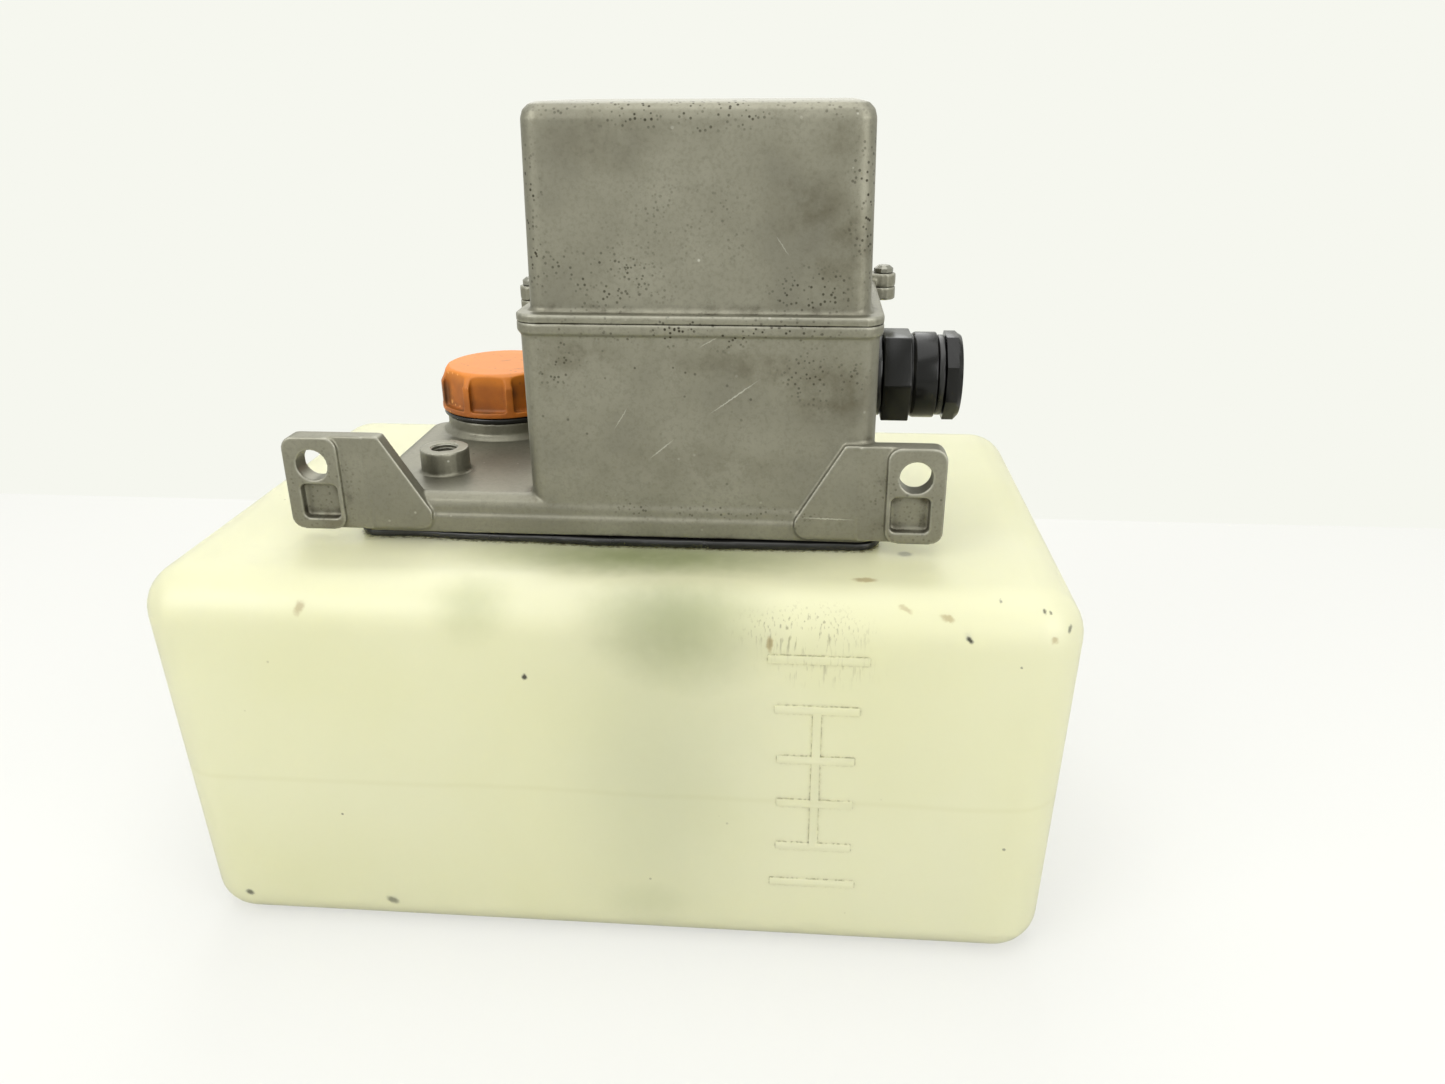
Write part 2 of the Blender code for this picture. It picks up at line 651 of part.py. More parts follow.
def base_block():
    rim = base_outline(0.0)
    rings = [at_height(rim, BASE_Z), at_height(rim, BASE_Z + RIM_HEIGHT)]
    for inset, rise in edge_rounding(DECK_EDGE_RADIUS):
        growth = DECK_STEP - RIM_STEP - inset
        z = DECK_Z - DECK_EDGE_RADIUS + rise
        if inset == 0.0:
            rings.append(at_height(base_outline(growth), BASE_Z + RIM_HEIGHT))
        rings.append(at_height(base_outline(growth), z))
    return place(loft("base_block", rings), 0, BODY_Y)


def ear_outline():
    outer = EAR_HOLE_PITCH / 2 + EAR_OVERHANG
    top = EAR_Z + EAR_HEIGHT
    toe = outer - GUSSET_TOE_REACH
    return rounded_outline([
        (outer, EAR_Z, EAR_CORNER_RADIUS),
        (outer, top, EAR_CORNER_RADIUS),
        (outer - GUSSET_TOP_REACH, top, GUSSET_RADIUS),
        (toe, EAR_Z + GUSSET_TOE_HEIGHT, GUSSET_RADIUS),
        (toe, EAR_Z, EAR_CORNER_RADIUS),
    ])


def mirrored(outline, side):
    return [(side * x, y) for x, y in outline]


def add_ear(body, tag, side):
    outer = EAR_HOLE_PITCH / 2 + EAR_OVERHANG
    plate = prism(f"ear_{tag}", mirrored(ear_outline(), side), -EAR_THICKNESS, -EAR_PAD_RAISE)
    join(body, place(plate, 0, PAD_Y, 0, FACING_FRONT))
    pad = rounded_rectangle(EAR_PAD_WIDTH, EAR_HEIGHT, EAR_CORNER_RADIUS)
    pad_depth = EAR_PAD_RAISE + OVERSHOOT
    pad_solid = prism(f"ear_pad_{tag}", pad, -pad_depth, 0)
    pad_x = side * (outer - EAR_PAD_WIDTH / 2)
    join(body, place(pad_solid, pad_x, PAD_Y, EAR_Z + EAR_HEIGHT / 2, FACING_FRONT))
    hole = prism(f"ear_hole_{tag}", circle(EAR_HOLE_DIAMETER / 2, ROUND_SIDES), -EAR_THICKNESS - OVERSHOOT,
                 OVERSHOOT)
    hole_z = EAR_Z + EAR_HEIGHT - EAR_HOLE_DROP
    cut(body, place(hole, side * EAR_HOLE_PITCH / 2, PAD_Y, hole_z, FACING_FRONT))
    pocket_outline = rounded_rectangle(EAR_POCKET_WIDTH, EAR_POCKET_HEIGHT, EAR_POCKET_RADIUS)
    pocket = prism(f"ear_pocket_{tag}", pocket_outline, -EAR_POCKET_DEPTH, OVERSHOOT)
    pocket_x = side * (outer - EAR_POCKET_OUTER_WALL - EAR_POCKET_WIDTH / 2)
    pocket_z = EAR_Z + EAR_POCKET_LIFT + EAR_POCKET_HEIGHT / 2
    cut(body, place(pocket, pocket_x, PAD_Y, pocket_z, FACING_FRONT))


def add_lug(target, tag, bottom, top):
    x, y = LUG_PLACES[tag]
    inward = math.copysign(1, BODY_X - x)
    boss = prism(f"{target.name}_lug_{tag}", circle(LUG_RADIUS, SMALL_SIDES), bottom, top)
    join(target, place(boss, x, y))
    web_length = LUG_REACH + FLANGE_OVERHANG + BODY_WALL / 2
    web = prism(f"{target.name}_lug_web_{tag}", rounded_rectangle(web_length, 2 * LUG_RADIUS, LUG_WEB_RADIUS),
                bottom, top)
    join(target, place(web, x + inward * web_length / 2, y))


def add_neck_and_outlet(body):
    neck = prism("neck", circle(NECK_DIAMETER / 2, FINE_SIDES), BASE_Z, NECK_TOP_Z)
    join(body, place(neck, NECK_X, NECK_Y))
    boss = prism("outlet_boss", circle(OUTLET_DIAMETER / 2, ROUND_SIDES), ROOF_Z, DECK_Z + OUTLET_HEIGHT)
    join(body, place(boss, OUTLET_X, OUTLET_Y))


def cut_base(body):
    low = BASE_Z - OVERSHOOT
    high = DECK_Z + OVERSHOOT
    cut(body, place(prism("base_pocket", opening_outline(), low, ROOF_Z), OPENING_X, OPENING_Y))
    drill(body, "neck_bore", NECK_BORE, NECK_X, NECK_Y, NECK_LEDGE_Z, NECK_TOP_Z + OVERSHOOT, ROUND_SIDES)
    drill(body, "neck_throat", filler_bore(), NECK_X, NECK_Y, low, NECK_LEDGE_Z + OVERSHOOT, ROUND_SIDES)
    outlet_top = DECK_Z + OUTLET_HEIGHT + OVERSHOOT
    drill(body, "outlet_bore", OUTLET_BORE, OUTLET_X, OUTLET_Y, outlet_top - OVERSHOOT - OUTLET_DEPTH,
          outlet_top)
    gallery_end = OPENING_X - OPENING_WIDTH / 2 + OVERSHOOT
    gallery = prism("gallery", circle(GALLERY_BORE / 2, SMALL_SIDES), 0, gallery_end - OUTLET_X)
    cut(body, place(gallery, OUTLET_X, OUTLET_Y, GALLERY_Z, ALONG_X))
    drill_tank_screw_holes(body, "in_body", low, high)
    drill(body, "rod_hole", ROD_DIAMETER + 2 * RUNNING_GAP, PUMP_X, PUMP_Y, ROOF_Z - OVERSHOOT, high)
    drill(body, "float_hole", FLOAT_STEM_DIAMETER + 2 * HOLE_CLEARANCE, FLOAT_X, PUMP_Y,
          ROOF_Z - OVERSHOOT, high)
    for name, x in PUMP_SCREW_PLACES.items():
        drill(body, f"{name}_in_body", PUMP_SCREW_DIAMETER + 2 * HOLE_CLEARANCE, x, PUMP_Y,
              ROOF_Z - OVERSHOOT, high)
    for name, x in BRACKET_SCREW_PLACES.items():
        drill(body, f"{name}_in_body", BRACKET_SCREW_DIAMETER + 2 * HOLE_CLEARANCE, x, BRACKET_SCREW_Y,
              ROOF_Z - OVERSHOOT, high)


def build_pump_body():
    body = housing_cup()
    join(body, base_block())
    add_neck_and_outlet(body)
    for tag, side in (("left", -1), ("right", 1)):
        add_ear(body, tag, side)
        add_lug(body, tag, PARTING_Z - LUG_HEIGHT, PARTING_Z)
        x, y = LUG_PLACES[tag]
        drill(body, f"lug_hole_{tag}", COVER_SCREW_DIAMETER + 2 * HOLE_CLEARANCE, x, y,
              PARTING_Z - LUG_HEIGHT - OVERSHOOT, PARTING_Z + OVERSHOOT)
    cut_base(body)
    gland_hole = prism("gland_hole", circle(GLAND_THREAD_DIAMETER / 2 + HOLE_CLEARANCE, ROUND_SIDES),
                       -BODY_WALL - OVERSHOOT, OVERSHOOT)
    cut(body, place(gland_hole, BODY_RIGHT_X, GLAND_Y, GLAND_Z, ALONG_X))


# Cover, its gasket and two screws

def build_cover():
    flange = rounded_rectangle(FLANGE_WIDTH, FLANGE_DEPTH, BODY_CORNER_RADIUS + FLANGE_OVERHANG)
    flange_top = COVER_Z + COVER_FLANGE_THICKNESS
    top = COVER_Z + COVER_HEIGHT

    def shell(z, inset, radius):
        rise = (z - flange_top) / (top - flange_top)
        narrowing = COVER_LEDGE + COVER_DRAFT * max(rise, 0) + inset
        outline = rounded_rectangle(FLANGE_WIDTH - 2 * narrowing, FLANGE_DEPTH - 2 * narrowing, radius)
        return at_height(outline, z)

    rings = []
    for inset, rise in edge_rounding(COVER_TOP_RADIUS)[::-1]:
        rings.append(shell(top - COVER_TOP_RADIUS + rise, inset, COVER_CORNER_RADIUS - inset / 2))
    for inset, rise in edge_rounding(COVER_FILLET, EDGE_STEPS - 1):
        rings.append(shell(flange_top + COVER_FILLET - rise, -inset, COVER_CORNER_RADIUS + inset))
    rings.append(at_height(flange, flange_top))
    rings.append(at_height(flange, COVER_Z))
    inner_radius = COVER_CORNER_RADIUS - COVER_WALL / 2
    rings.append(shell(COVER_Z, COVER_WALL, inner_radius))
    rings.append(shell(top - COVER_WALL, COVER_WALL, inner_radius))
    cover = place(loft("cover", rings, "cast_aluminium"), BODY_X, BODY_Y)
    for tag, (x, y) in LUG_PLACES.items():
        add_lug(cover, tag, COVER_Z, LUG_TOP_Z)
        drill(cover, f"cover_lug_hole_{tag}", COVER_SCREW_DIAMETER + 2 * HOLE_CLEARANCE, x, y,
              COVER_Z - OVERSHOOT, LUG_TOP_Z + OVERSHOOT)


def build_cover_gasket():
    outer = rounded_rectangle(FLANGE_WIDTH - 2 * COVER_GASKET_INSET, FLANGE_DEPTH - 2 * COVER_GASKET_INSET,
                              BODY_CORNER_RADIUS)
    inner = rounded_rectangle(BODY_WIDTH - 2 * BODY_WALL, BODY_DEPTH - 2 * BODY_WALL,
                              BODY_CORNER_RADIUS - BODY_WALL / 2)
    low = COVER_GASKET_Z
    high = COVER_GASKET_Z + COVER_GASKET_THICKNESS
    rings = [at_height(outer, low), at_height(outer, high), at_height(inner, high), at_height(inner, low)]
    place(loft("cover_gasket", rings, "black_rubber", ring_shaped=True), BODY_X, BODY_Y)


def build_cover_screws():
    for tag, (x, y) in LUG_PLACES.items():
        screw = pan_head_screw(f"cover_screw_{tag}", COVER_SCREW_DIAMETER, COVER_SCREW_HEAD_DIAMETER,
                               COVER_SCREW_HEAD_HEIGHT, COVER_SCREW_LENGTH)
        place(screw, x, y, LUG_TOP_Z + SEAT_GAP)


# Filler: strainer basket in the neck, gasket ring and fluted screw cap

def build_strainer():
    rim = NECK_BORE / 2 - RUNNING_GAP
    basket = filler_bore() / 2 - RUNNING_GAP
    seat = SEAT_GAP
    profile = [(basket - STRAINER_WALL, STRAINER_WALL - STRAINER_LENGTH),
               (basket - STRAINER_WALL, seat + STRAINER_RIM_HEIGHT), (rim, seat + STRAINER_RIM_HEIGHT),
               (rim, seat), (basket, seat), (basket, -STRAINER_LENGTH)]
    place(revolve("filler_strainer", profile, INNER_SIDES, "steel_mesh"), NECK_X, NECK_Y, NECK_LEDGE_Z)


def cap_ring(radius, z, flute_depth):
    steps = CAP_FLUTES * CAP_FLUTE_FACETS
    points = []
    for step in range(steps):
        angle = CAP_FIRST_RIB + 2 * math.pi * step / steps
        across = (step % CAP_FLUTE_FACETS) / CAP_FLUTE_FACETS
        hollow = min(1.0, CAP_FLUTE_SHARPNESS * math.sin(math.pi * across) ** 2)
        reach = radius - flute_depth * hollow
        points.append((reach * math.cos(angle), reach * math.sin(angle), z))
    return points


def build_cap():
    radius = CAP_DIAMETER / 2
    shoulder = CAP_HEIGHT - CAP_CROWN
    plug = NECK_BORE / 2 - RUNNING_GAP
    hollow = plug - CAP_PLUG_WALL
    rings = [
        cap_ring(radius - 2 * CAP_CROWN_INSET, CAP_HEIGHT, 0.0),
        cap_ring(radius - CAP_CROWN_INSET, CAP_HEIGHT - CAP_EDGE_DROP, 0.0),
        cap_ring(radius - CAP_BROW_INSET, CAP_HEIGHT - CAP_BROW_DROP, 0.0),
        cap_ring(radius, shoulder, CAP_ARCH_DEPTH),
        cap_ring(radius, shoulder - CAP_ARCH_HEIGHT, CAP_FLUTE_DEPTH),
        cap_ring(radius, 2 * CAP_SKIRT_BAND, CAP_FLUTE_DEPTH),
        cap_ring(radius, CAP_SKIRT_BAND, CAP_LIP_FLUTE),
        cap_ring(radius, 0.0, CAP_LIP_FLUTE),
        cap_ring(plug, 0.0, 0.0),
        cap_ring(plug, -CAP_PLUG_LENGTH, 0.0),
        cap_ring(hollow, -CAP_PLUG_LENGTH, 0.0),
        cap_ring(hollow, CAP_HEIGHT - CAP_EDGE_DROP - CAP_ROOF, 0.0),
    ]
    place(loft("filler_cap", rings, "orange_plastic"), NECK_X, NECK_Y, CAP_Z)


def build_cap_gasket():
    inner = NECK_BORE / 2 + RUNNING_GAP
    ring = tube("cap_gasket", CAP_GASKET_DIAMETER / 2, inner, 0, CAP_GASKET_THICKNESS, FINE_SIDES,
                "black_rubber")
    place(ring, NECK_X, NECK_Y, CAP_GASKET_Z)


# Cable gland: pieces stacked along X from the right wall

def turned_to_gland(part, x):
    place(part, x, GLAND_Y, GLAND_Z, ALONG_X)


def bored(name, rings, bore, material):
    hole = circle(bore / 2, len(rings[0]))
    first = rings[0][0][2]
    last = rings[-1][0][2]
    return loft(name, [*rings, at_height(hole, last), at_height(hole, first)], material, ring_shaped=True)


def subdivided_polygon(across_flats, flats, sides):
    points = []
    for step in range(sides):
        angle = 2 * math.pi * step / sides
        off_flat = (angle + math.pi / flats) % (2 * math.pi / flats) - math.pi / flats
        reach = across_flats / 2 / math.cos(off_flat)
        points.append((reach * math.cos(angle), reach * math.sin(angle)))
    return points


def build_gland():
    thread = GLAND_THREAD_DIAMETER / 2
    seal_x = BODY_RIGHT_X + SEAT_GAP
    seal = tube("gland_seal", GLAND_SEAL_DIAMETER / 2, thread + HOLE_CLEARANCE, 0, GLAND_SEAL_THICKNESS,
                ROUND_SIDES, "black_rubber")
    turned_to_gland(seal, seal_x)

    body_x = seal_x + GLAND_SEAL_THICKNESS + SEAT_GAP
    inside = body_x - BODY_RIGHT_X + BODY_WALL + LOCKNUT_THICKNESS + OVERSHOOT
    sides = FINE_SIDES
    hexagonal = subdivided_polygon(GLAND_HEX_WIDTH, 6, sides)
    barrel = circle(GLAND_BARREL_DIAMETER / 2, sides)
    neck = circle(GLAND_RING_DIAMETER / 2, sides)
    hex_end = GLAND_HEX_LENGTH
    barrel_end = hex_end + GLAND_BARREL_LENGTH
    rings = [at_height(circle(thread, sides), -inside), at_height(circle(thread, sides), 0),
             at_height(hexagonal, 0), at_height(hexagonal, hex_end),
             at_height(neck, hex_end + SEAT_GAP), at_height(barrel, hex_end + GLAND_SHOULDER),
             at_height(barrel, barrel_end)]
    turned_to_gland(bored("gland_body", rings, GLAND_BORE, "black_plastic"), body_x)

    ring_x = body_x + barrel_end + SEAT_GAP
    ring = tube("gland_seal_ring", GLAND_RING_DIAMETER / 2, GLAND_CABLE_BORE / 2, 0, GLAND_RING_LENGTH,
                ROUND_SIDES, "black_rubber")
    turned_to_gland(ring, ring_x)

    nut_x = ring_x + GLAND_RING_LENGTH + SEAT_GAP
    across_flats = GLAND_NUT_DIAMETER * math.cos(math.pi / GLAND_NUT_FLATS)
    flats = subdivided_polygon(across_flats, GLAND_NUT_FLATS, sides)
    face = circle(GLAND_RING_DIAMETER / 2, sides)
    nut_rings = [at_height(flats, 0), at_height(flats, GLAND_NUT_LENGTH - GLAND_NUT_CHAMFER),
                 at_height(face, GLAND_NUT_LENGTH)]
    turned_to_gland(bored("gland_nut", nut_rings, GLAND_BORE, "black_plastic"), nut_x)

    locknut_x = BODY_RIGHT_X - BODY_WALL - SEAT_GAP - LOCKNUT_THICKNESS
    outline = subdivided_polygon(LOCKNUT_WIDTH, 6, HEXAGON_SIDES)
    locknut_rings = [at_height(outline, 0), at_height(outline, LOCKNUT_THICKNESS)]
    locknut_bore = GLAND_THREAD_DIAMETER + 2 * HOLE_CLEARANCE
    locknut = bored("gland_locknut", locknut_rings, locknut_bore, "black_plastic")
    turned_to_gland(locknut, locknut_x)


# Piston pump that hangs from the deck

def build_pump_cylinder():
    barrel = PUMP_BARREL_DIAMETER / 2
    flange = PUMP_FLANGE_DIAMETER / 2
    bore = PUMP_BORE / 2
    profile = [(barrel, -PUMP_LENGTH), (barrel, -PUMP_FLANGE_THICKNESS), (flange, -PUMP_FLANGE_THICKNESS),
               (flange, 0), (bore, 0), (bore, PUMP_FLOOR - PUMP_LENGTH)]
    cylinder = revolve("pump_cylinder", profile, INNER_SIDES, "cast_aluminium")
    place(cylinder, PUMP_X, PUMP_Y, PUMP_TOP_Z)
    boss = prism("port_boss", circle(PORT_BOSS_DIAMETER / 2, INNER_SIDES), barrel / 2 + bore / 2,
                 barrel + PORT_BOSS_LENGTH)
    join(cylinder, place(boss, PUMP_X, PUMP_Y, PUMP_FOOT_Z + PORT_LIFT, AGAINST_X))
    port = prism("port_bore", circle(PORT_BORE / 2, SMALL_SIDES), 0, barrel + PORT_BOSS_LENGTH + OVERSHOOT)
    cut(cylinder, place(port, PUMP_X, PUMP_Y, PUMP_FOOT_Z + PORT_LIFT, AGAINST_X))
    drill(cylinder, "inlet_bore", PUMP_INLET_BORE, PUMP_X, PUMP_Y, PUMP_FOOT_Z - OVERSHOOT,
          PUMP_FOOT_Z + PUMP_FLOOR + OVERSHOOT)
    for name, x in PUMP_SCREW_PLACES.items():
        drill(cylinder, f"{name}_in_cylinder", PUMP_SCREW_DIAMETER + 2 * HOLE_CLEARANCE, x, PUMP_Y,
              PUMP_TOP_Z - PUMP_FLANGE_THICKNESS - OVERSHOOT, PUMP_TOP_Z + OVERSHOOT)
        length = PUMP_FLANGE_THICKNESS + DECK_THICKNESS
        screw = pan_head_screw(name, PUMP_SCREW_DIAMETER, PUMP_SCREW_HEAD_DIAMETER, PUMP_SCREW_HEAD_HEIGHT,
                               length)
        place(screw, x, PUMP_Y, PUMP_TOP_Z - PUMP_FLANGE_THICKNESS - SEAT_GAP, (math.pi, 0.0, 0.0))


def check_valve(name, ball_name, x, y, z, rotation, flow):
    seat = VALVE_SEAT_BORE / 2
    chamber = VALVE_CHAMBER_BORE / 2
    outer = VALVE_DIAMETER / 2
    profile = [(outer, 0), (outer, VALVE_LENGTH), (chamber, VALVE_LENGTH), (chamber, VALVE_SEAT_LENGTH),
               (seat, VALVE_SEAT_LENGTH - SEAT_GAP), (seat, 0)]
    place(revolve(name, profile, INNER_SIDES, "brass", ring_shaped=True), x, y, z, rotation)
    radius = VALVE_BALL_DIAMETER / 2
    lift = VALVE_SEAT_LENGTH + SEAT_GAP + math.sqrt(radius ** 2 - seat ** 2)
    mesh = bpy.data.meshes.new(ball_name)
    builder = bmesh.new()
    bmesh.ops.create_uvsphere(builder, u_segments=SMALL_SIDES, v_segments=SMALL_SIDES // 2, radius=radius)
    builder.to_mesh(mesh)
    builder.free()
    ball = add_object(ball_name, mesh, "zinc_plated_steel")
    centre = Vector((x, y, z)) + Vector(flow) * lift
    place(ball, *centre)


def build_valves():
    check_valve("inlet_valve", "inlet_ball", PUMP_X, PUMP_Y, INLET_VALVE_Z, (0.0, 0.0, 0.0), (0, 0, 1))
    delivery_x = PUMP_X - PUMP_BARREL_DIAMETER / 2 - PORT_BOSS_LENGTH - SEAT_GAP
    check_valve("delivery_valve", "delivery_ball", delivery_x, PUMP_Y, PUMP_FOOT_Z + PORT_LIFT, AGAINST_X,
                (-1, 0, 0))

    suction = tube("suction_tube", INLET_TUBE_DIAMETER / 2, VALVE_SEAT_BORE / 2, 0, INLET_TUBE_LENGTH,
                   INNER_SIDES, "pale_plastic")
    place(suction, PUMP_X, PUMP_Y, SUCTION_TUBE_Z)
    outer = SUCTION_STRAINER_DIAMETER / 2
    inner = outer - SUCTION_STRAINER_WALL
    throat = VALVE_SEAT_BORE / 2
    top = -SEAT_GAP
    roof = top - SUCTION_STRAINER_WALL
    profile = [(throat, top), (outer, top), (outer, top - SUCTION_STRAINER_HEIGHT),
               (inner, top - SUCTION_STRAINER_HEIGHT), (inner, roof), (throat, roof)]
    strainer = revolve("suction_strainer", profile, INNER_SIDES, "steel_mesh", ring_shaped=True)
    place(strainer, PUMP_X, PUMP_Y, SUCTION_TUBE_Z)


def build_delivery_pipe():
    start_x = PUMP_X - PUMP_BARREL_DIAMETER / 2 - PORT_BOSS_LENGTH - VALVE_LENGTH - 2 * SEAT_GAP
    start_z = PUMP_FOOT_Z + PORT_LIFT
    end_x = OPENING_X - OPENING_WIDTH / 2 + SEAT_GAP
    riser_x = end_x + PIPE_RUN_OUT
    corners = [
        Vector((start_x, PUMP_Y, start_z)),
        Vector((riser_x, PUMP_Y, start_z)),
        Vector((riser_x, OUTLET_Y, GALLERY_Z)),
        Vector((end_x, OUTLET_Y, GALLERY_Z)),
    ]
    curve = bpy.data.curves.new("delivery_pipe", "CURVE")
    curve.dimensions = "3D"
    curve.bevel_depth = PIPE_DIAMETER / 2
    curve.bevel_resolution = 2
    curve.use_fill_caps = True
    points = [corners[0]]
    for before, corner, after in zip(corners, corners[1:], corners[2:]):
        reach = min(PIPE_BEND, PIPE_BEND_SHARE * (before - corner).length,
                    PIPE_BEND_SHARE * (after - corner).length)
        entry = corner + (before - corner).normalized() * reach
        leave = corner + (after - corner).normalized() * reach
        for step in range(EDGE_STEPS + 1):
            t = step / EDGE_STEPS
            points.append(entry.lerp(corner, t).lerp(corner.lerp(leave, t), t))
    points.append(corners[-1])
    spline = curve.splines.new("POLY")
    spline.points.add(len(points) - 1)
    for target, point in zip(spline.points, points):
        target.co = (*point, 1)
    add_object("delivery_pipe", curve, "copper_pipe")


# Piston and rod, drawn at the top of the stroke, with the return spring round the rod

def build_piston():
    follower_z = DECK_Z + FOLLOWER_LIFT
    foot = ROOF_Z - PISTON_DROP
    collar_z = FOLLOWER_LIFT - COLLAR_DROP - COLLAR_THICKNESS
    piston = prism("piston", circle(PUMP_BORE / 2 - RUNNING_GAP, INNER_SIDES), -PISTON_LENGTH, 0, "brass")
    place(piston, PUMP_X, PUMP_Y, foot)
    profile = [(ROD_DIAMETER / 2, foot + SEAT_GAP - follower_z)]
    for step in range(FOLLOWER_STEPS + 1):
        angle = FOLLOWER_START + FOLLOWER_SWEEP * step / FOLLOWER_STEPS
        profile.append((FOLLOWER_RADIUS * math.cos(angle), FOLLOWER_RADIUS * math.sin(angle)))
    rod = revolve("piston_rod", profile, INNER_SIDES, "zinc_plated_steel")
    place(rod, PUMP_X, PUMP_Y, follower_z)
    collar = tube("spring_collar", COLLAR_DIAMETER / 2, ROD_DIAMETER / 2 + SEAT_GAP, 0, COLLAR_THICKNESS,
                  INNER_SIDES, "zinc_plated_steel")
    place(collar, PUMP_X, PUMP_Y, DECK_Z + collar_z)

    wire = SPRING_WIRE / 2
    low = SEAT_GAP + wire
    high = collar_z - SEAT_GAP - wire
    count = int(SPRING_TURNS * SPRING_POINTS_PER_TURN) + 1
    radius = SPRING_DIAMETER / 2 - wire
    curve = bpy.data.curves.new("return_spring", "CURVE")
    curve.dimensions = "3D"
    curve.bevel_depth = wire
    curve.bevel_resolution = 1
    curve.use_fill_caps = True
    spline = curve.splines.new("POLY")
    spline.points.add(count - 1)
    for step in range(count):
        angle = 2 * math.pi * step / SPRING_POINTS_PER_TURN
        z = low + (high - low) * step / (count - 1)
        spline.points[step].co = (radius * math.cos(angle), radius * math.sin(angle), z, 1)
    place(add_object("return_spring", curve, "zinc_plated_steel"), PUMP_X, PUMP_Y, DECK_Z)
    pitch = (high - low) / SPRING_TURNS
    print(f"return_spring least gap between turns {(pitch - SPRING_WIRE) / MM:.2f} mm")


# Snail cam on the gear motor's shaft: the follower's path is a spiral, less the follower's own radius

def cam_point(angle):
    rate = STROKE / CAM_SWEEP
    path = CAM_BASE_RADIUS + rate * angle
    radial = Vector((math.sin(angle), -math.cos(angle)))
    sideways = Vector((math.cos(angle), math.sin(angle)))
    tangent = (radial * rate + sideways * path).normalized()
    inward = Vector((-tangent.y, tangent.x))
    return radial * path + inward * (FOLLOWER_RADIUS + SEAT_GAP)


def build_cam():
    outline = []
    for step in range(CAM_POINTS):
        angle = -CAM_STEP_LEAD + 2 * math.pi * step / CAM_POINTS
        outline.append(tuple(cam_point(angle)))
    cam = prism("snail_cam", outline, -CAM_THICKNESS / 2, CAM_THICKNESS / 2, "zinc_plated_steel")
    place(cam, PUMP_X, PUMP_Y, CAM_Z, FACING_FRONT)
    bore_outline = circle(SHAFT_DIAMETER / 2 + RUNNING_GAP, INNER_SIDES)
    bore = prism("cam_bore", bore_outline, -CAM_THICKNESS, CAM_THICKNESS)
    cut(cam, place(bore, PUMP_X, PUMP_Y, CAM_Z, FACING_FRONT))
    shaft_end = BRACKET_Y - PUMP_Y + BRACKET_THICKNESS + GEAR_CASE_LENGTH / 2
    shaft = prism("drive_shaft", circle(SHAFT_DIAMETER / 2, INNER_SIDES), -CAM_THICKNESS / 2 - SHAFT_NOSE,
                  shaft_end, "motor_steel")
    place(shaft, PUMP_X, PUMP_Y, CAM_Z, ALONG_Y)


def build_bracket():
    depth = BRACKET_THICKNESS + BRACKET_FOOT
    low = DECK_Z + SEAT_GAP
    profile = [(BRACKET_Y, low), (BRACKET_Y + depth, low), (BRACKET_Y + depth, low + BRACKET_THICKNESS),
               (BRACKET_Y + BRACKET_THICKNESS, low + BRACKET_THICKNESS),
               (BRACKET_Y + BRACKET_THICKNESS, low + BRACKET_HEIGHT), (BRACKET_Y, low + BRACKET_HEIGHT)]
    rings = [[(PUMP_X + side * BRACKET_WIDTH / 2, y, z) for y, z in profile] for side in (-1, 1)]
    bracket = loft("motor_bracket", rings, "zinc_plated_steel")
    hole = prism("shaft_hole", circle(SHAFT_DIAMETER / 2 + HOLE_CLEARANCE, INNER_SIDES), -OVERSHOOT,
                 BRACKET_THICKNESS + OVERSHOOT)
    cut(bracket, place(hole, PUMP_X, BRACKET_Y, CAM_Z, ALONG_Y))
    for name, x in BRACKET_SCREW_PLACES.items():
        drill(bracket, f"{name}_in_bracket", BRACKET_SCREW_DIAMETER + 2 * HOLE_CLEARANCE, x, BRACKET_SCREW_Y,
              DECK_Z - OVERSHOOT, low + BRACKET_THICKNESS + OVERSHOOT)
        screw = pan_head_screw(name, BRACKET_SCREW_DIAMETER, BRACKET_SCREW_HEAD_DIAMETER,
                               BRACKET_SCREW_HEAD_HEIGHT, BRACKET_THICKNESS + DECK_THICKNESS)
        place(screw, x, BRACKET_SCREW_Y, low + BRACKET_THICKNESS + SEAT_GAP)


def build_motor():
    case_y = BRACKET_Y + BRACKET_THICKNESS + SEAT_GAP
    case_outline = rounded_rectangle(GEAR_CASE_WIDTH, GEAR_CASE_HEIGHT, GEAR_CASE_RADIUS)
    case = prism("gear_case", case_outline, 0, GEAR_CASE_LENGTH, "motor_steel")
    place(case, PUMP_X, case_y, CAM_Z, ALONG_Y)
    socket = prism("shaft_socket", circle(SHAFT_DIAMETER / 2 + HOLE_CLEARANCE, INNER_SIDES), -OVERSHOOT,
                   GEAR_CASE_LENGTH / 2 + OVERSHOOT)
    cut(case, place(socket, PUMP_X, case_y, CAM_Z, ALONG_Y))
    motor_y = case_y + GEAR_CASE_LENGTH + SEAT_GAP
    cover_inside_y = BODY_Y + FLANGE_DEPTH / 2 - COVER_LEDGE - COVER_DRAFT - COVER_WALL
    length = cover_inside_y - MOTOR_REAR_SPACE - motor_y
    radius = MOTOR_DIAMETER / 2
    profile = [(radius, 0), (radius, length - MOTOR_EDGE), (radius - MOTOR_EDGE, length)]
    motor = revolve("motor", profile, INNER_SIDES, "motor_steel")
    place(motor, PUMP_X, motor_y, CAM_Z, ALONG_Y)


# Level float on its stem, and the terminal block

